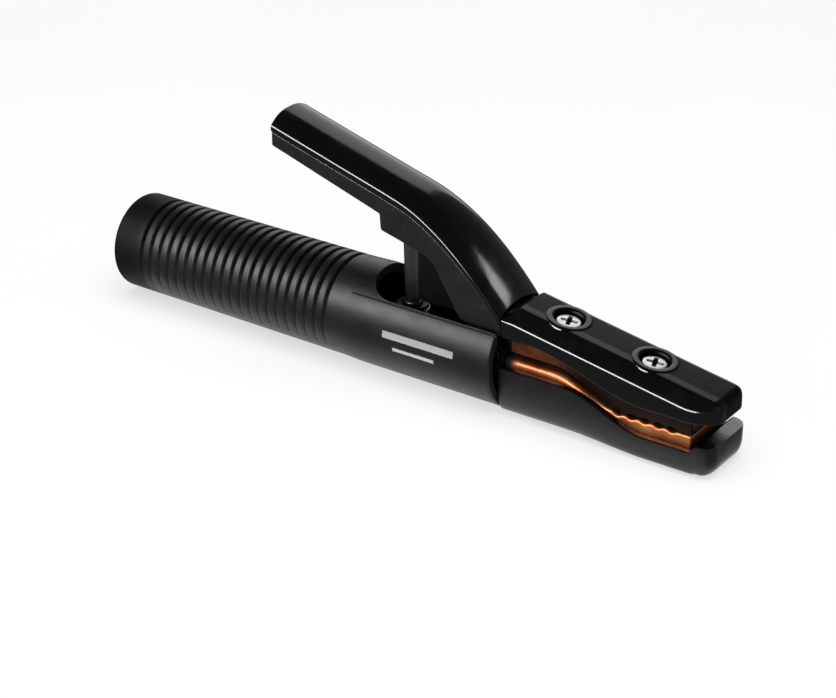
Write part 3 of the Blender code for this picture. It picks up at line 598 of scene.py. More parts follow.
def build_lever_body():
    """The lower moulding, its web and post, its inner channel and its screw's recess."""
    path = underside_path()

    def section(x):
        half = lever_half(x) - 0.25
        high = lever_edge(x) - 2.5
        return rounded(both_sides([(-half, height_on(path, x), 0.8), (-half, high, 0.35)]))

    stations = sorted(set([round(x, 4) for x, z in path] + spread(-54.0, 44.0, 50)))
    stations = [x for x in stations if BODY_LOW.x + 0.7 < x < BODY_HIGH.x - 0.2]
    stations = [BODY_LOW.x] + stations + [BODY_HIGH.x]
    piece = along_x("lever_grip_body", stations, section, 0.6)
    join(piece, slab("tool", rounded(WEB), WEB_HALF, 0.35))
    stop = CAP_TOP + 0.3
    tip = BODY_LOW.z
    post = [(0.0, 42.0), (POST, 42.0), (2.85, stop + 1.2), (POST, stop + 0.9)]
    post += [(POST_COLLAR, stop + 0.6), (POST_COLLAR, stop), (POST_TIP, stop)]
    post += [(POST_TIP, tip + 1.6), (2.2, tip + 0.3), (1.6, tip), (0.0, tip)]
    join(piece, lathe("tool", post, (SPRING_X, 0, 0), (0, 0, 1), 48))
    side = CHANNEL_HALF
    rings = []
    for x, low in CHANNEL:
        high = lever_edge(x) + 5.0
        rings.append([(x, -side, low), (x, -side, high), (x, side, high), (x, side, low)])
    cut(piece, skin("tool", rings))
    recess = [(0.0, -4.0), (4.0, -4.0), (4.0, 1.6), (2.3, 1.6), (2.3, 6.0), (0.0, 6.0)]
    origin, direction = cover_screw_axis()
    cut(piece, lathe("tool", recess, origin, direction, 40))
    return shade(piece)


def cover_screw_axis():
    """Where the lever's screw leaves the underside, and the way into the lever."""
    x = COVER_SCREW_X
    into = (math.sin(COVER_SCREW_LEAN), 0.0, math.cos(COVER_SCREW_LEAN))
    return (x, 0.0, height_on(underside_path(), x)), into


# -------- jaw insulators

UPPER_HALF = 13.75
UPPER_CAVITY = 10.9
UPPER_ROOF = 3.6
UPPER_SHOULDER = 4.6
NOSE_LENGTH = 10.5
NOSE_POWER = 1.8
NOSE_FLAT = 6.5
NOSE_CHAMFER = 1.4
NOSE_ROUND = 3.0
NOSE_DROP = 2.6
LOWER_HALF = 14.0
LOWER_CAVITY = 11.3
LOWER_FLOOR = -14.0
LOWER_NOSE_WALL = 129.5
LOWER_ROUND = 5.7
LOWER_LIFT = 5.8
CAVITY_BEVEL = 2.5


def upper_half(x):
    """Half the upper cover's width, which rounds off to a flat nose."""
    along = max((x - NOSE + NOSE_LENGTH) / NOSE_LENGTH, 0.0)
    share = max(1.0 - along**NOSE_POWER, 0.0) ** (1.0 / NOSE_POWER)
    return NOSE_FLAT + (UPPER_HALF - NOSE_FLAT) * share


def upper_section(x):
    """Flat top, sloping shoulders and sides, and the cavity for the copper behind the nose."""
    half = upper_half(x)
    rear_drop = UPPER_SHOULDER * 0.9 * (PANEL_START - x) / (PANEL_START - UPPER_LOW.x)
    along = max((x - NOSE + NOSE_ROUND) / NOSE_ROUND, 0.0)
    front_drop = NOSE_DROP * (1.0 - math.sqrt(max(1.0 - along**2, 0.0)))
    top = panel(x) - max(rear_drop, front_drop, 0.0)
    shoulder = panel(x) - UPPER_SHOULDER + 1.7 * smoothstep(122.0, NOSE - 1.0, x)
    skirt = ramp(x, *SKIRT_RAMP)
    step = half - min(PANEL_HALF, half - NOSE_CHAMFER)
    hollow = x < COPPER_FRONT + 0.3
    wall = min(UPPER_CAVITY, half - 1.0)
    roof = panel(x) - UPPER_ROOF if hollow else skirt
    drop = CAVITY_BEVEL if hollow else 0.0
    outer = [(-half, skirt, 0.6), (-half, shoulder, 1.0), (-half + step, top, 1.3)]
    inner = [(wall, skirt, 0.3), (wall, roof - drop, 0.3), (wall - CAVITY_BEVEL, roof, 0.3)]
    return rounded(both_sides(outer) + both_sides(inner), 5)


def screw_cup(x):
    """The round seat of an upper jaw screw, turned about the screw's axis."""
    outer = 9.2
    inner = 5.4
    crest = 0.4
    turn = 1.45
    quarter = spread(0.0, QUARTER, 8)
    profile = [(outer, -3.1)]
    profile += [(outer - turn * (1 - math.cos(a)), crest - turn * (1 - math.sin(a))) for a in quarter]
    profile += [(inner + turn * (1 - math.sin(a)), crest - turn * (1 - math.cos(a))) for a in quarter]
    profile += [(inner, -2.5), (inner - 0.2, -2.7), (SCREW_HOLE, -2.7), (SCREW_HOLE, -3.3)]
    profile += [(outer - 0.2, -3.3)]
    return lathe("tool", profile, along_screw(x, 0.0), SCREW_OUT, 72)


def build_upper_insulator():
    stations = [UPPER_LOW.x] + spread(48.4, PANEL_START, 4) + spread(53.0, 120.0, 46)
    stations += [122.0, 124.0, 125.5, COPPER_FRONT + 0.29, COPPER_FRONT + 0.31, 127.5]
    for a in spread(0.25, QUARTER - 0.02, 20):
        stations.append(NOSE - NOSE_LENGTH + NOSE_LENGTH * math.sin(a))
    stations = sorted(set(stations + [NOSE]))
    piece = along_x("upper_jaw_cover", stations, upper_section, 0.5)
    for x in UPPER_SCREWS.values():
        hole = [(0.0, -6.0), (7.3, -6.0), (7.3, 6.0), (0.0, 6.0)]
        cut(piece, lathe("tool", hole, along_screw(x, 0.0), SCREW_OUT, 48))
        join(piece, screw_cup(x))
    return shade(piece)


def lower_section(x):
    """A trough with round lower corners, which closes and rises to its nose."""
    share = max((x - NOSE + LOWER_ROUND) / LOWER_ROUND, 0.0)
    pull = 1.0 - math.sqrt(max(1.0 - share**2, 0.0))
    half = LOWER_HALF - LOWER_ROUND * pull
    bottom = BOTTOM + LOWER_LIFT * pull
    corner = ramp(x, *CORNER_RAMP) * (1.0 - 0.3 * pull) * 1.05
    top = rim(x)
    hollow = x < LOWER_NOSE_WALL
    floor = LOWER_FLOOR if hollow else top
    drop = CAVITY_BEVEL if hollow else 0.0
    inside = LOWER_CAVITY if hollow else min(LOWER_CAVITY, half - 1.2)
    outer = [(-half, top, 0.55), (-half, bottom, corner)]
    inner = [(inside, top, 0.35), (inside, floor + drop, 0.3), (inside - CAVITY_BEVEL, floor, 0.3)]
    return rounded(both_sides(outer) + both_sides(inner), 8)


def build_lower_insulator():
    stations = [LOWER_LOW.x] + spread(48.5, 126.0, 48)
    stations += [126.6, 127.2, 127.8, 128.4, 129.0, 129.49, 129.51, 130.0]
    for a in spread(0.1, QUARTER - 0.04, 12):
        stations.append(NOSE - LOWER_ROUND * (1.0 - math.sin(a)))
    stations = sorted(set(stations + [NOSE]))
    piece = along_x("lower_jaw_cover", stations, lower_section, 0.5)
    seat = [(0.0, -6.0), (5.6, -6.0), (5.25, 0.35), (5.25, 2.5)]
    seat += [(SCREW_HOLE, 2.5), (SCREW_HOLE, 7.0), (0.0, 7.0)]
    for x in LOWER_SCREWS.values():
        cut(piece, lathe("tool", seat, (x, 0, BOTTOM), (0, 0, 1), 48))
    return shade(piece)


# -------- copper


def lower_copper_section(x):
    half = 11.0
    high = jaw_top(x) - TEETH_DEPTH * wave(x)
    low = -13.7
    soft = ramp(x, *COPPER_EDGE_RAMP)
    return rounded(both_sides([(-half, low, 2.6), (-half, high, soft)]), 6)


def upper_copper_section(x):
    half = 10.6
    high = panel(x) - 3.9
    low = jaw_underside(x) + TEETH_DEPTH * wave(x)
    return rounded(both_sides([(-half, low, 0.9), (-half, high, 2.6)]), 5)


def build_copper(node_name, name, rear, overlap, section):
    """A casting as the CAD has it inside the grip, with a finely drawn jaw from rear forwards."""
    piece = copy_of(node_name, name)
    cut(piece, block((rear + overlap, -20, -20), (150, 20, 40)))
    stations = [rear] + spread(rear + 2.0, 92.0, 28) + spread(TEETH_START, TEETH_END, 61)
    stations += spread(122.0, COPPER_FRONT, 4)
    join(piece, along_x("tool", stations, section, 0.5, 0.7))
    return shade(piece, SHARP_METAL)


# -------- screws and spring

# One screw's sizes: head and shank are radii, depth is the head's height.
JAW_SCREW = {"head": 4.75, "depth": 1.6, "shank": 2.5, "length": 10.5}
LOCK_SCREW = {"head": 4.1, "depth": 1.2, "shank": 2.5, "length": 11.5}
COVER_SCREW = {"head": 3.6, "depth": 1.0, "shank": 2.0, "length": 7.0}
DOWN = (0, 0, -1)
HEAD_DOME = 0.25
HEAD_ROUND = 0.45
CROSS_TURN = 0.35


def cross_cutter(top, direction, reach, depth):
    """A cross recess whose arms narrow and slope towards its bottom."""
    turn = Vector(direction).normalized().to_track_quat("Z", "Y")
    levels = ((0.4, 1.06, 0.27), (0.0, 1.0, 0.24), (-depth * 0.45, 0.78, 0.19), (-depth, 0.3, 0.12))
    rings = []
    for height, size, arm in levels:
        ring = []
        for quarter in range(4):
            angle = quarter * QUARTER + CROSS_TURN
            a = reach * arm
            s = reach * size
            for x, y in ((s * 0.94, -a), (s, -a * 0.5), (s, a * 0.5), (s * 0.94, a), (a * 1.15, a * 1.15)):
                u = x * math.cos(angle) - y * math.sin(angle)
                v = x * math.sin(angle) + y * math.cos(angle)
                ring.append(tuple(Vector(top) + turn @ Vector((u, v, height))))
        rings.append(ring)
    return skin("tool", rings)


def build_screw(name, top, direction, head, depth, shank, length):
    """A screw with a slightly domed head, rounded rim and cross recess. The recess's faces get
    the second material slot, near black steel that is painted shade."""
    profile = [(0.0, 0.0)]
    for share in (0.2, 0.4, 0.6, 0.75):
        profile.append((head * share, -HEAD_DOME * share**2))
    for a in spread(0.0, QUARTER, 5):
        radius = head - HEAD_ROUND + HEAD_ROUND * math.sin(a)
        profile.append((radius, -HEAD_DOME * 0.8 - HEAD_ROUND * (1.0 - math.cos(a))))
    profile += [(head, -depth * 0.55), (head - 0.2, -depth * 0.6)]
    profile += [(shank + 0.3, -depth), (shank, -depth - 0.3)]
    profile += [(shank, -length + 0.6), (shank - 0.6, -length), (0.0, -length)]
    piece = lathe(name, profile, top, direction)
    cut(piece, cross_cutter(top, direction, head * 0.7, min(1.5, depth + 0.6)))
    shade(piece, SHARP_METAL)
    start = place(*top)
    out = Vector(direction).normalized()
    for face in piece.data.polygons:
        away = face.center - start
        sunk = -away.dot(out)
        radial = (away + out * sunk).length
        if 0.33 * MM < sunk < (depth - 0.05) * MM and radial < head * 0.74 * MM:
            face.material_index = 1
    return piece


def build_spring():
    """The coil, its end turns closed up and ground flat."""
    low = SPRING_LOW.z
    high = SPRING_HIGH.z
    wire = 0.8
    coil = (SPRING_HIGH.x - SPRING_LOW.x) / 2.0 - wire
    turns = 3.2
    closed = 0.7
    pitch = wire * 2.0
    packing = 0.55
    start = 1.1
    steps = 220
    sides = 12
    span = (high - low) - 2.0 * wire - pitch * (2.0 * closed) * packing
    rings = []
    centres = []
    for i in range(steps + 1):
        turn = i / steps * turns
        rise = min(max((turn - closed) / (turns - 2.0 * closed), 0.0), 1.0)
        dead = pitch * (min(turn, closed) + max(turn - turns + closed, 0.0)) * packing
        z = low + wire + dead + span * rise
        angle = math.tau * turn + start
        centres.append(Vector((SPRING_X + coil * math.cos(angle), coil * math.sin(angle), z)))
    for i, centre in enumerate(centres):
        ahead = centres[min(i + 1, steps)] - centres[max(i - 1, 0)]
        ahead.normalize()
        outward = Vector((centre.x - SPRING_X, centre.y, 0.0)).normalized()
        up = ahead.cross(outward).normalized()
        ring = []
        for k in range(sides):
            a = math.tau * k / sides
            spot = centre + outward * (wire * math.cos(a)) + up * (wire * math.sin(a))
            spot.z = min(max(spot.z, low + 0.05), high - 0.05)
            ring.append(tuple(spot))
        rings.append(ring)
    return skin("return_spring", rings, SHARP_WIRE)


# -------- materials


def new_material(name):
    material = bpy.data.materials.new(name)
    material.use_nodes = True
    return material, material.node_tree, material.node_tree.nodes["Principled BSDF"]


def node(tree, kind, **values):
    made = tree.nodes.new(kind)
    for key, value in values.items():
        if key in made.inputs.keys():
            made.inputs[key].default_value = value
        else:
            setattr(made, key, value)
    return made


def split_xyz(tree, vector):
    split = node(tree, "ShaderNodeSeparateXYZ")
    tree.links.new(vector, split.inputs["Vector"])
    return split.outputs


def noise(tree, coordinates, scale, detail=4.0, rough=0.55, stretch=None):
    source = coordinates
    if stretch:
        mapping = node(tree, "ShaderNodeMapping", Scale=stretch)
        tree.links.new(coordinates, mapping.inputs["Vector"])
        source = mapping.outputs["Vector"]
    texture = node(tree, "ShaderNodeTexNoise", Scale=scale, Detail=detail, Roughness=rough)
    tree.links.new(source, texture.inputs["Vector"])
    return texture.outputs["Fac"]


def ranged(tree, value, low, high, to_low=0.0, to_high=1.0, smooth=False):
    """Carries a value from one range (low, high) to another."""
    limits = {"From Min": low, "From Max": high, "To Min": to_low, "To Max": to_high}
    made = node(tree, "ShaderNodeMapRange", **limits)
    made.interpolation_type = "SMOOTHSTEP" if smooth else "LINEAR"
    tree.links.new(value, made.inputs["Value"])
    return made.outputs["Result"]


def arithmetic(tree, operation, a, b):
    made = node(tree, "ShaderNodeMath", operation=operation)
    for socket, value in zip(made.inputs, (a, b)):
        if isinstance(value, (int, float)):
            socket.default_value = value
        else:
            tree.links.new(value, socket)
    return made.outputs["Value"]


def times(tree, a, b):
    return arithmetic(tree, "MULTIPLY", a, b)


def size_of(tree, value):
    return arithmetic(tree, "ABSOLUTE", value, 0.0)


def blend_colours(tree, factor, a, b):
    made = node(tree, "ShaderNodeMix", data_type="RGBA")
    sockets = [s for s in made.inputs if s.type == "RGBA"]
    for socket, value in zip(sockets, (a, b)):
        if isinstance(value, tuple):
            socket.default_value = value
        else:
            tree.links.new(value, socket)
    tree.links.new(factor, made.inputs["Factor"])
    return [s for s in made.outputs if s.type == "RGBA"][0]


def tinted(colour, factor):
    """A colour made darker or lighter."""
    return tuple(c * factor for c in colour[:3]) + (1.0,)


def openness(tree, distance, samples):
    """1 on open faces, towards 0 in hollows."""
    return node(tree, "ShaderNodeAmbientOcclusion", Distance=distance, samples=samples).outputs["AO"]


def edge_mask(tree, radius):
    """1 on sharp outer edges, 0 on flat faces: how far a rounded normal leans from the real one."""
    bevel = node(tree, "ShaderNodeBevel", Radius=radius, samples=4)
    geometry = node(tree, "ShaderNodeNewGeometry")
    dot = node(tree, "ShaderNodeVectorMath", operation="DOT_PRODUCT")
    tree.links.new(bevel.outputs["Normal"], dot.inputs[0])
    tree.links.new(geometry.outputs["Normal"], dot.inputs[1])
    return ranged(tree, dot.outputs["Value"], 0.99, 0.85)


def bump(tree, shader, height, strength, distance, before=None):
    made = node(tree, "ShaderNodeBump", Strength=strength, Distance=distance)
    tree.links.new(height, made.inputs["Height"])
    if before is not None:
        tree.links.new(before, made.inputs["Normal"])
    tree.links.new(made.outputs["Normal"], shader.inputs["Normal"])
    return made.outputs["Normal"]


def plastic(name, grey, worn, roughness, grain, grain_scale=2600.0, gloss=0.5, **zones):
    """Moulded plastic: fine grain, faint flow marks, uneven sheen, rubbed edges, and painted shade
    that takes the shine out of grooves and hollows. A zone is a mask: marked gets white ink, dull is
    rougher and painted darker with less shine as shade, pale is painted a lighter grey as light."""
    material, tree, shader = new_material(name)
    where = node(tree, "ShaderNodeTexCoord").outputs["Object"]
    fine = noise(tree, where, grain_scale, 3.0, 0.6)
    flow = noise(tree, where, 55.0, 5.0, 0.6, (0.5, 1.0, 1.0))
    smudge = noise(tree, where, 160.0, 6.0, 0.65)
    edges = edge_mask(tree, 0.0005)
    patchy = times(tree, edges, ranged(tree, smudge, 0.35, 0.65, 0.2, 1.0))
    darker = tinted(grey, 0.75)
    lighter = tinted(grey, 1.35)
    base = blend_colours(tree, ranged(tree, flow, 0.3, 0.7, smooth=True), darker, lighter)
    base = blend_colours(tree, times(tree, patchy, 0.6), base, (worn, worn, worn, 1.0))
    rough = ranged(tree, smudge, 0.3, 0.7, roughness - 0.05, roughness + 0.07)
    if "marked" in zones:
        ink = zones["marked"](tree, where)
        base = blend_colours(tree, ink, base, (0.82, 0.82, 0.80, 1.0))
        rough = arithmetic(tree, "ADD", rough, times(tree, ink, 0.12))
    # Painted shade: the shine fades in grooves and hollows, by the occlusion around each point.
    shine = ranged(tree, openness(tree, 0.0022, 6), 0.45, 0.92, gloss * 0.08, gloss)
    # Painted shade: a dull zone is painted near black with little shine.
    if "dull" in zones:
        covered = zones["dull"](tree, where)
        shine = times(tree, shine, ranged(tree, covered, 0.0, 1.0, 1.0, 0.2))
        rough = arithmetic(tree, "ADD", rough, times(tree, covered, 0.25))
        base = blend_colours(tree, covered, base, (0.004, 0.004, 0.004, 1.0))
    # Painted light: a pale zone is painted a lighter grey where light falls on it.
    if "pale" in zones:
        mask = zones["pale"](tree, where)
        base = blend_colours(tree, mask, base, (0.065, 0.065, 0.068, 1.0))
    tree.links.new(base, shader.inputs["Base Color"])
    tree.links.new(rough, shader.inputs["Roughness"])
    tree.links.new(shine, shader.inputs["Specular IOR Level"])
    shader.inputs["IOR"].default_value = 1.5
    first = bump(tree, shader, fine, grain, 0.00012)
    bump(tree, shader, flow, 0.12, 0.0006, first)
    return material


# Limits of the zones in metres: outside, inside
PANEL_SIDES = (0.0081, 0.0074)
# Across Y, where the painted sheen along the panel's near side starts and is full.
PANEL_NEAR_SHEEN = (-0.0036, -0.0052)
POST_SIDES = (0.0044, 0.0041)
WEB_SIDES = (0.0027, 0.0026)
COLLAR = (-0.112, -0.126)
# Along X, where the copper's painted shade inside the handle's mouth starts and is full.
HANDLE_MOUTH = (0.0535, 0.0495)
# Along X, where the painted shade on the upper jaw's copper starts and is full.
PAINTED_SHADE_SPAN = (0.058, 0.080)


def on_panel(tree, where):
    """1 on the long flat top of the upper jaw cover, which is rougher than its edges and has its
    reflection painted down as shade; a strip along its near side keeps more, a painted sheen.
    """
    x, y, z = split_xyz(tree, where)
    sloped = arithmetic(tree, "ADD", z, times(tree, x, SLOPE))
    level = (PANEL_HEIGHT + SLOPE * PANEL_START + AXIS) * MM
    low = ranged(tree, sloped, level + 0.0002, level + 0.0001)
    across = ranged(tree, size_of(tree, y), *PANEL_SIDES, smooth=True)
    # Painted sheen: the near side of the flat top is dulled less, so it shows a lighter strip.
    near_sheen = ranged(tree, y, *PANEL_NEAR_SHEEN, 1.0, 0.55, smooth=True)
    inner = times(tree, across, near_sheen)
    return times(tree, low, inner)


def on_post(tree, where):
    """1 on the lever's post, painted a paler grey than the lever: painted light on the lit post."""
    x, y, z = split_xyz(tree, where)
    off = size_of(tree, arithmetic(tree, "SUBTRACT", x, SPRING_X * MM))
    near = ranged(tree, off, *POST_SIDES)
    thin = ranged(tree, size_of(tree, y), *POST_SIDES)
    low = ranged(tree, z, (AXIS + 40.5) * MM, (AXIS + 38.0) * MM, smooth=True)
    return times(tree, times(tree, near, thin), low)


def on_collar(tree, where):
    """1 on the plain collar at the handle's rear end, painted darker and with less shine as shade."""
    return ranged(tree, split_xyz(tree, where)[0], *COLLAR, 0.0, 0.8, smooth=True)


def on_web(tree, where):
    """1 on the thin web that ties the lever's post to its leg, which stays in the dark: painted shade."""
    x, y, z = split_xyz(tree, where)
    past = ranged(tree, x, SPRING_X * MM + 0.0031, SPRING_X * MM + 0.0034)
    thin = ranged(tree, size_of(tree, y), *WEB_SIDES)
    low = ranged(tree, z, (AXIS + 39.5) * MM, (AXIS + 39.0) * MM, 0.0, 1.0)
    return times(tree, times(tree, past, thin), low)


# Each bar's middle along X, half length, middle height and half height
PRINTED_BARS = ((14.9, 16.0, 3.1, 1.45), (13.0, 9.4, -2.0, 0.8))


def printed_bars(tree, where):
    """Two plain bars printed on the near side of the handle, with slightly ragged edges."""
    x, y, z = split_xyz(tree, where)
    ragged = ranged(tree, noise(tree, where, 2500.0, 2.0), 0.3, 0.7, -0.00012, 0.00012)
    soft = 0.2
    bars = []
    for centre_x, half_x, centre_z, half_z in PRINTED_BARS:
        inside = []
        for value, centre, half in ((x, centre_x, half_x), (z, centre_z + AXIS, half_z)):
            off = size_of(tree, arithmetic(tree, "SUBTRACT", value, centre * MM))
            off = arithmetic(tree, "ADD", off, ragged)
            inside.append(ranged(tree, off, half * MM, (half - soft) * MM))
        bars.append(times(tree, *inside))
    near = arithmetic(tree, "LESS_THAN", y, -0.017)
    return times(tree, arithmetic(tree, "MAXIMUM", *bars), near)


def copper(name, dull, bright, edge, streak_tone, shade_depth=0.0):
    """Cast copper alloy with a painted highlight on its edges, painted shade in hollows and inside the
    handle's mouth, and painted shade from the jaw's rear forwards.
    """
    material, tree, shader = new_material(name)
    where = node(tree, "ShaderNodeTexCoord").outputs["Object"]
    streaks = noise(tree, where, 420.0, 5.0, 0.6, (0.18, 1.0, 1.0))
    cloud = noise(tree, where, 90.0, 5.0, 0.6)
    pits = noise(tree, where, 1900.0, 3.0, 0.6)
    edges = edge_mask(tree, 0.0009)
    x = split_xyz(tree, where)[0]
    inside = ranged(tree, x, *HANDLE_MOUTH, smooth=True)
    base = blend_colours(tree, ranged(tree, cloud, 0.32, 0.68, smooth=True), dull, bright)
    base = blend_colours(tree, ranged(tree, streaks, 0.42, 0.72, 0.0, 0.4), base, streak_tone)
    # Painted highlight: the edges are painted a paler copper.
    base = blend_colours(tree, times(tree, edges, 0.6), base, edge)
    # Painted shade: dark red in hollows and under overhangs.
    dark = ranged(tree, openness(tree, 0.009, 8), 0.15, 0.62, 0.85, 0.0)
    base = blend_colours(tree, dark, base, (0.075, 0.014, 0.006, 1.0))
    # Painted shade: near black from the jaw's rear forwards, as deep as the material asks.
    painted_shade = ranged(tree, x, *PAINTED_SHADE_SPAN, 0.0, shade_depth, smooth=True)
    base = blend_colours(tree, painted_shade, base, (0.010, 0.004, 0.003, 1.0))
    # Painted shade: near black inside the handle's mouth, with less metal and more roughness below.
    base = blend_colours(tree, inside, base, (0.012, 0.009, 0.008, 1.0))
    tree.links.new(base, shader.inputs["Base Color"])
    tree.links.new(ranged(tree, inside, 0.0, 1.0, 0.62, 0.2), shader.inputs["Metallic"])
    rough = ranged(tree, cloud, 0.3, 0.7, 0.32, 0.46)
    rough = arithmetic(tree, "ADD", rough, times(tree, inside, 0.35))
    tree.links.new(rough, shader.inputs["Roughness"])
    first = bump(tree, shader, pits, 0.25, 0.00010)
    bump(tree, shader, streaks, 0.25, 0.00025, first)
    return material


def steel(name, colour, roughness, grain_scale=2600.0):
    """Plated steel: fine turning marks, faint clouding and painted shade in its recesses."""
    material, tree, shader = new_material(name)
    where = node(tree, "ShaderNodeTexCoord").outputs["Object"]
    lines = noise(tree, where, grain_scale, 4.0, 0.6, (0.25, 1.0, 1.0))
    cloud = noise(tree, where, 260.0, 4.0, 0.6)
    smooth_cloud = ranged(tree, cloud, 0.3, 0.7, smooth=True)
    base = blend_colours(tree, smooth_cloud, tinted(colour, 0.62), colour)
    # Painted shade: near black in recesses.
    recess_shade = ranged(tree, openness(tree, 0.0016, 6), 0.75, 0.25, 0.0, 0.92)
    base = blend_colours(tree, recess_shade, base, (0.03, 0.028, 0.026, 1.0))
    tree.links.new(base, shader.inputs["Base Color"])
    shader.inputs["Metallic"].default_value = 1.0
    rough = ranged(tree, cloud, 0.3, 0.7, roughness - 0.05, roughness + 0.1)
    tree.links.new(rough, shader.inputs["Roughness"])
    bump(tree, shader, lines, 0.2, 0.00006)
    return material


def paint(piece, material):
    """One material on the whole piece. The faces keep their slot numbers for a second one."""
    numbers = [face.material_index for face in piece.data.polygons]
    piece.data.materials.clear()
    piece.data.materials.append(material)
    for face, number in zip(piece.data.polygons, numbers):
        face.material_index = number


# -------- the pieces

# Plastics: base colour, worn edge's grey, roughness, strength and scale of the grain
BLACK_GLOSS = ((0.006, 0.006, 0.007), 0.05, 0.13, 0.05, 2200.0)
BLACK_HANDLE = ((0.016, 0.016, 0.018), 0.10, 0.38, 0.22)
BLACK_LEVER = ((0.017, 0.017, 0.019), 0.06, 0.24, 0.10, 2400.0)
GRIP = plastic("handle_plastic", *BLACK_HANDLE, gloss=0.38, marked=printed_bars, dull=on_collar)
SATIN = plastic("satin_plastic", (0.014, 0.014, 0.016), 0.09, 0.27, 0.20)
GLOSS = plastic("gloss_plastic", *BLACK_GLOSS)
JAW_GLOSS = plastic("jaw_plastic", *BLACK_GLOSS, dull=on_panel)
LEVER_SIDE = plastic("lever_plastic", *BLACK_LEVER, dull=on_web, pale=on_post)
FIBRE = plastic("washer_plastic", (0.012, 0.011, 0.011), 0.06, 0.5, 0.3, 1800.0)
COPPER = copper(
    "copper_alloy",
    (0.66, 0.17, 0.05, 1.0),
    (0.92, 0.34, 0.13, 1.0),
    (1.0, 0.58, 0.36, 1.0),
    (0.46, 0.11, 0.03, 1.0),
)
# A darker copy of the copper: painted shade on the upper jaw, which lies in its cover's shade.
SHADED_COPPER = copper(
    "shaded_copper",
    (0.20, 0.045, 0.014, 1.0),
    (0.38, 0.11, 0.035, 1.0),
    (0.55, 0.22, 0.09, 1.0),
    (0.05, 0.015, 0.008, 1.0),
    0.95,
)
SCREW_STEEL = steel("zinc_plating", (0.90, 0.90, 0.88, 1), 0.22)
# Near black steel on the screws' cross recesses: painted shade.
SHADED_RECESS_STEEL = steel("shaded_recess_steel", (0.03, 0.03, 0.03, 1), 0.5)
WIRE = steel("spring_wire", (0.40, 0.40, 0.40, 1), 0.24, 1800.0)
# Near black steel for the pivot pin and clip: painted shade between the handle and the jaws.
SHADED_PIN_STEEL = steel("shaded_pin_steel", (0.07, 0.068, 0.066, 1), 0.38, 1800.0)


def fit(piece, body, material, node_name):
    """Puts a finished piece on its body in place of its CAD node."""
    paint(piece, material)
    # The screws' second slot paints their cross recess near black as shade.
    if material is SCREW_STEEL:
        piece.data.materials.append(SHADED_RECESS_STEEL)
    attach(piece, body)
    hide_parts(node_name)
    return piece


handle = fit(build_handle(), "body", GRIP, "handle")
lower_cover = fit(build_lower_insulator(), "body", SATIN, "lower_jaw_insulator")
lower_copper = build_copper("body_casting", "body_copper", 48.3, 1.0, lower_copper_section)
fit(lower_copper, "body", COPPER, "body_casting")
jaw_cover = fit(build_upper_insulator(), "lever", JAW_GLOSS, "upper_jaw_insulator")
upper_copper = build_copper("jaw_lever", "lever_copper", 50.5, 1.2, upper_copper_section)
fit(upper_copper, "lever", SHADED_COPPER, "jaw_lever")
lever_top = fit(build_cover(), "lever", GLOSS, "lever_cover")
lever_grip = fit(build_lever_body(), "lever", LEVER_SIDE, "lever_body")

for label, x in UPPER_SCREWS.items():
    spot = along_screw(x, -SCREW_SINK)
    made = build_screw("upper_screw_" + label, spot, SCREW_OUT, **JAW_SCREW)
    fit(made, "lever", SCREW_STEEL, "upper_jaw_screw_" + label)
for label, x in LOWER_SCREWS.items():
    made = build_screw("lower_screw_" + label, (x, 0, BOTTOM + 0.6), DOWN, **JAW_SCREW)
    fit(made, "body", SCREW_STEEL, "lower_jaw_screw_" + label)
made = build_screw("handle_screw", (LOCK_X, 0, BOTTOM + 0.2), DOWN, **LOCK_SCREW)
fit(made, "body", SCREW_STEEL, "handle_lock_screw")
origin, into = cover_screw_axis()
spot = tuple(Vector(origin) + Vector(into) * 0.5)
made = build_screw("cover_screw", spot, tuple(-Vector(into)), **COVER_SCREW)
fit(made, "lever", SCREW_STEEL, "lever_cover_screw")

spring = fit(build_spring(), "body", WIRE, "spring")
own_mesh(spring)

# These CAD nodes stay as they are and only get a material.
for name, material in (
    ("pivot_pin", SHADED_PIN_STEEL),
    ("pivot_clip", SHADED_PIN_STEEL),
    ("cable_clamp_screw_front", SCREW_STEEL),
    ("cable_clamp_screw_rear", SCREW_STEEL),
    ("cable_sleeve", COPPER),
    ("spring_seat", FIBRE),
    ("spring_cap", FIBRE),
):
    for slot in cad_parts[name].material_slots:
        slot.material = material


# -------- floor, light and camera


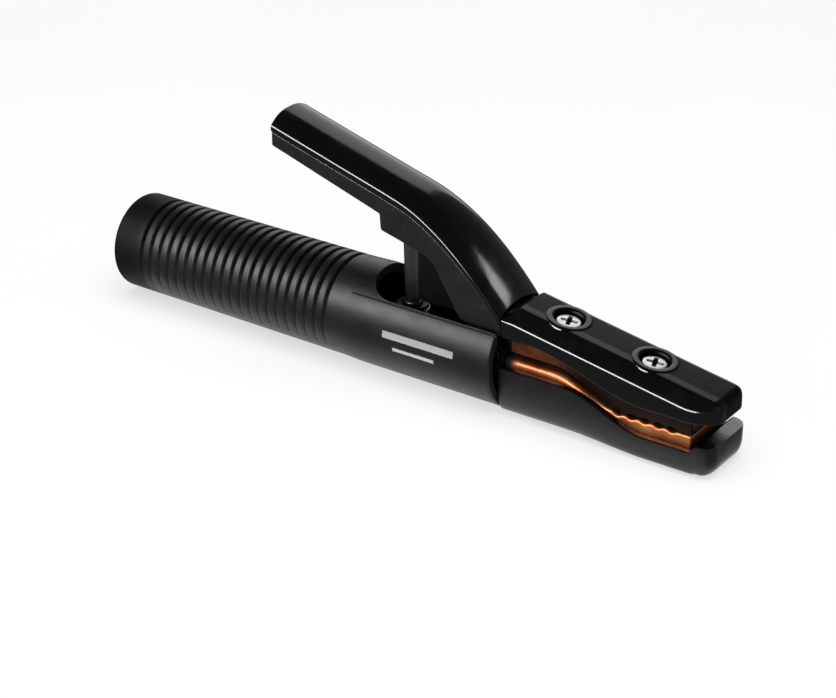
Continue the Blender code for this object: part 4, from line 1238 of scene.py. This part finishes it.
def make_floor():
    """A white sheet that glows a little, so that it stays pale and lights the holder from below.
    From underneath it is clear, so that the holder's underside can be looked at.
    Mirror rays see it white only near the holder, as a small table in a dark studio would look."""
    builder = bmesh.new()
    half = 2.5
    corners = [(-half, -half), (half, -half), (half, half), (-half, half)]
    builder.faces.new([builder.verts.new((x, y, -0.0002)) for x, y in corners])
    floor = finish_mesh("floor", builder)
    material, tree, shader = new_material("pale_floor")
    where = node(tree, "ShaderNodeTexCoord").outputs["Object"]
    cloud = noise(tree, where, 6.0, 3.0)
    base = blend_colours(tree, cloud, (0.50, 0.50, 0.50, 1.0), (0.54, 0.54, 0.54, 1.0))
    shader.inputs["Roughness"].default_value = 0.8
    shader.inputs["Specular IOR Level"].default_value = 0.0
    x, y = split_xyz(tree, where)[:2]
    across = arithmetic(tree, "SUBTRACT", size_of(tree, y), 0.014)
    beyond = arithmetic(tree, "SUBTRACT", size_of(tree, x), 0.133)
    along = times(tree, beyond, 2.5)
    away = arithmetic(tree, "MAXIMUM", across, along)
    mirrored = ranged(tree, away, 0.002, 0.028, 0.74, 0.11, smooth=True)
    in_mirror = node(tree, "ShaderNodeLightPath").outputs["Is Glossy Ray"]
    hidden = times(tree, arithmetic(tree, "SUBTRACT", 1.0, mirrored), in_mirror)
    seen = blend_colours(tree, hidden, base, (0.0, 0.0, 0.0, 1.0))
    tree.links.new(seen, shader.inputs["Base Color"])
    glow = node(tree, "ShaderNodeMix")
    tree.links.new(in_mirror, glow.inputs["Factor"])
    glow.inputs["A"].default_value = 0.66
    tree.links.new(mirrored, glow.inputs["B"])
    shader.inputs["Emission Color"].default_value = (1.0, 1.0, 1.0, 1.0)
    tree.links.new(glow.outputs["Result"], shader.inputs["Emission Strength"])
    geometry = node(tree, "ShaderNodeNewGeometry")
    clear = node(tree, "ShaderNodeBsdfTransparent")
    sides = node(tree, "ShaderNodeMixShader")
    tree.links.new(geometry.outputs["Backfacing"], sides.inputs["Fac"])
    tree.links.new(shader.outputs["BSDF"], sides.inputs[1])
    tree.links.new(clear.outputs["BSDF"], sides.inputs[2])
    tree.links.new(sides.outputs["Shader"], tree.nodes["Material Output"].inputs["Surface"])
    material.cycles.emission_sampling = "NONE"
    floor.data.materials.append(material)
    return floor


def softbox(name, direction, distance, size_x, size_y, radiance, only_on=(), mirrored=True):
    """A rectangular lamp that faces the holder from a direction; its glow is given per area. It
    shows only in mirror rays, or only outside them, and may light some pieces alone."""
    data = bpy.data.lights.new(name, "AREA")
    data.shape = "RECTANGLE"
    data.size = size_x
    data.size_y = size_y
    data.energy = radiance * size_x * size_y * math.pi
    lamp = link_new(name, data)
    away = Vector(direction).normalized()
    lamp.location = Vector((0.03, 0.0, 0.03)) + away * distance
    lamp.rotation_mode = "QUATERNION"
    lamp.rotation_quaternion = (-away).to_track_quat("-Z", "Y")
    lamp.visible_camera = False
    lamp.visible_diffuse = not mirrored
    lamp.visible_glossy = mirrored
    if only_on:
        receivers = bpy.data.collections.new(name + "_receivers")
        for piece in only_on:
            receivers.objects.link(piece)
        lamp.light_linking.receiver_collection = receivers


def make_world():
    """A dim studio: a little lighter low down than overhead."""
    world = bpy.data.worlds.new("studio")
    bpy.context.scene.world = world
    world.use_nodes = True
    tree = world.node_tree
    background = tree.nodes["Background"]
    height = split_xyz(tree, node(tree, "ShaderNodeTexCoord").outputs["Generated"])[2]
    level = ranged(tree, height, 0.0, 0.9, 0.20, 0.06, smooth=True)
    tree.links.new(level, background.inputs["Strength"])
    background.inputs["Color"].default_value = (1.0, 1.0, 1.0, 1.0)


def make_camera():
    """The photo's view, from the front, the right and above. Scale is in pixels per millimetre."""
    azimuth = math.radians(35.0)
    elevation = math.radians(27.0)
    distance = 900.0
    sensor = 36.0
    scale = 2.653
    width = 836.0
    level = math.cos(elevation)
    toward = Vector((math.sin(azimuth) * level, -math.cos(azimuth) * level, math.sin(elevation)))
    right = Vector((math.cos(azimuth), math.sin(azimuth), 0.0))
    up = right.cross(-toward)
    target = Vector((0.012, 0.0, 0.0192))
    camera = link_new("camera", bpy.data.cameras.new("camera"))
    camera.data.sensor_width = sensor
    camera.data.lens = sensor * distance / (width / scale)
    camera.location = target - right * 0.00869 - up * 0.00704 + toward * (distance * MM)
    camera.rotation_mode = "QUATERNION"
    camera.rotation_quaternion = (-toward).to_track_quat("-Z", "Y")
    bpy.context.scene.camera = camera


floor = make_floor()
make_world()
make_camera()
# The near strips hang at one place, and each lights only its own pieces.
NEAR = (-0.40, -0.78, 0.46)
softbox("table_lamp", (0.1, -0.15, 1.0), 1.6, 2.0, 2.0, 1.75, (floor,), mirrored=False)
softbox("near_fill", (-0.1, -0.9, 0.25), 1.1, 1.6, 0.5, 0.4, mirrored=False)
softbox("far_card", (-0.449, 0.778, 0.438), 1.2, 0.83, 1.12, 1.1)
softbox("handle_strip", NEAR, 1.1, 1.5, 0.4, 9.5, (handle,))
softbox("edge_strip", NEAR, 1.1, 1.5, 0.4, 25.0, (jaw_cover, lever_top, lever_grip))
softbox("back_strip", (0.30, 0.80, 0.46), 1.1, 1.5, 0.4, 6.0, (lower_cover, lever_grip))
softbox("copper_strip", NEAR, 1.1, 1.5, 0.3, 12.0, (lower_copper, upper_copper))
softbox("leg_card", (0.61, 0.54, 0.58), 1.0, 0.28, 0.22, 6.5, (lever_top,))
bpy.context.scene.view_settings.view_transform = "Standard"
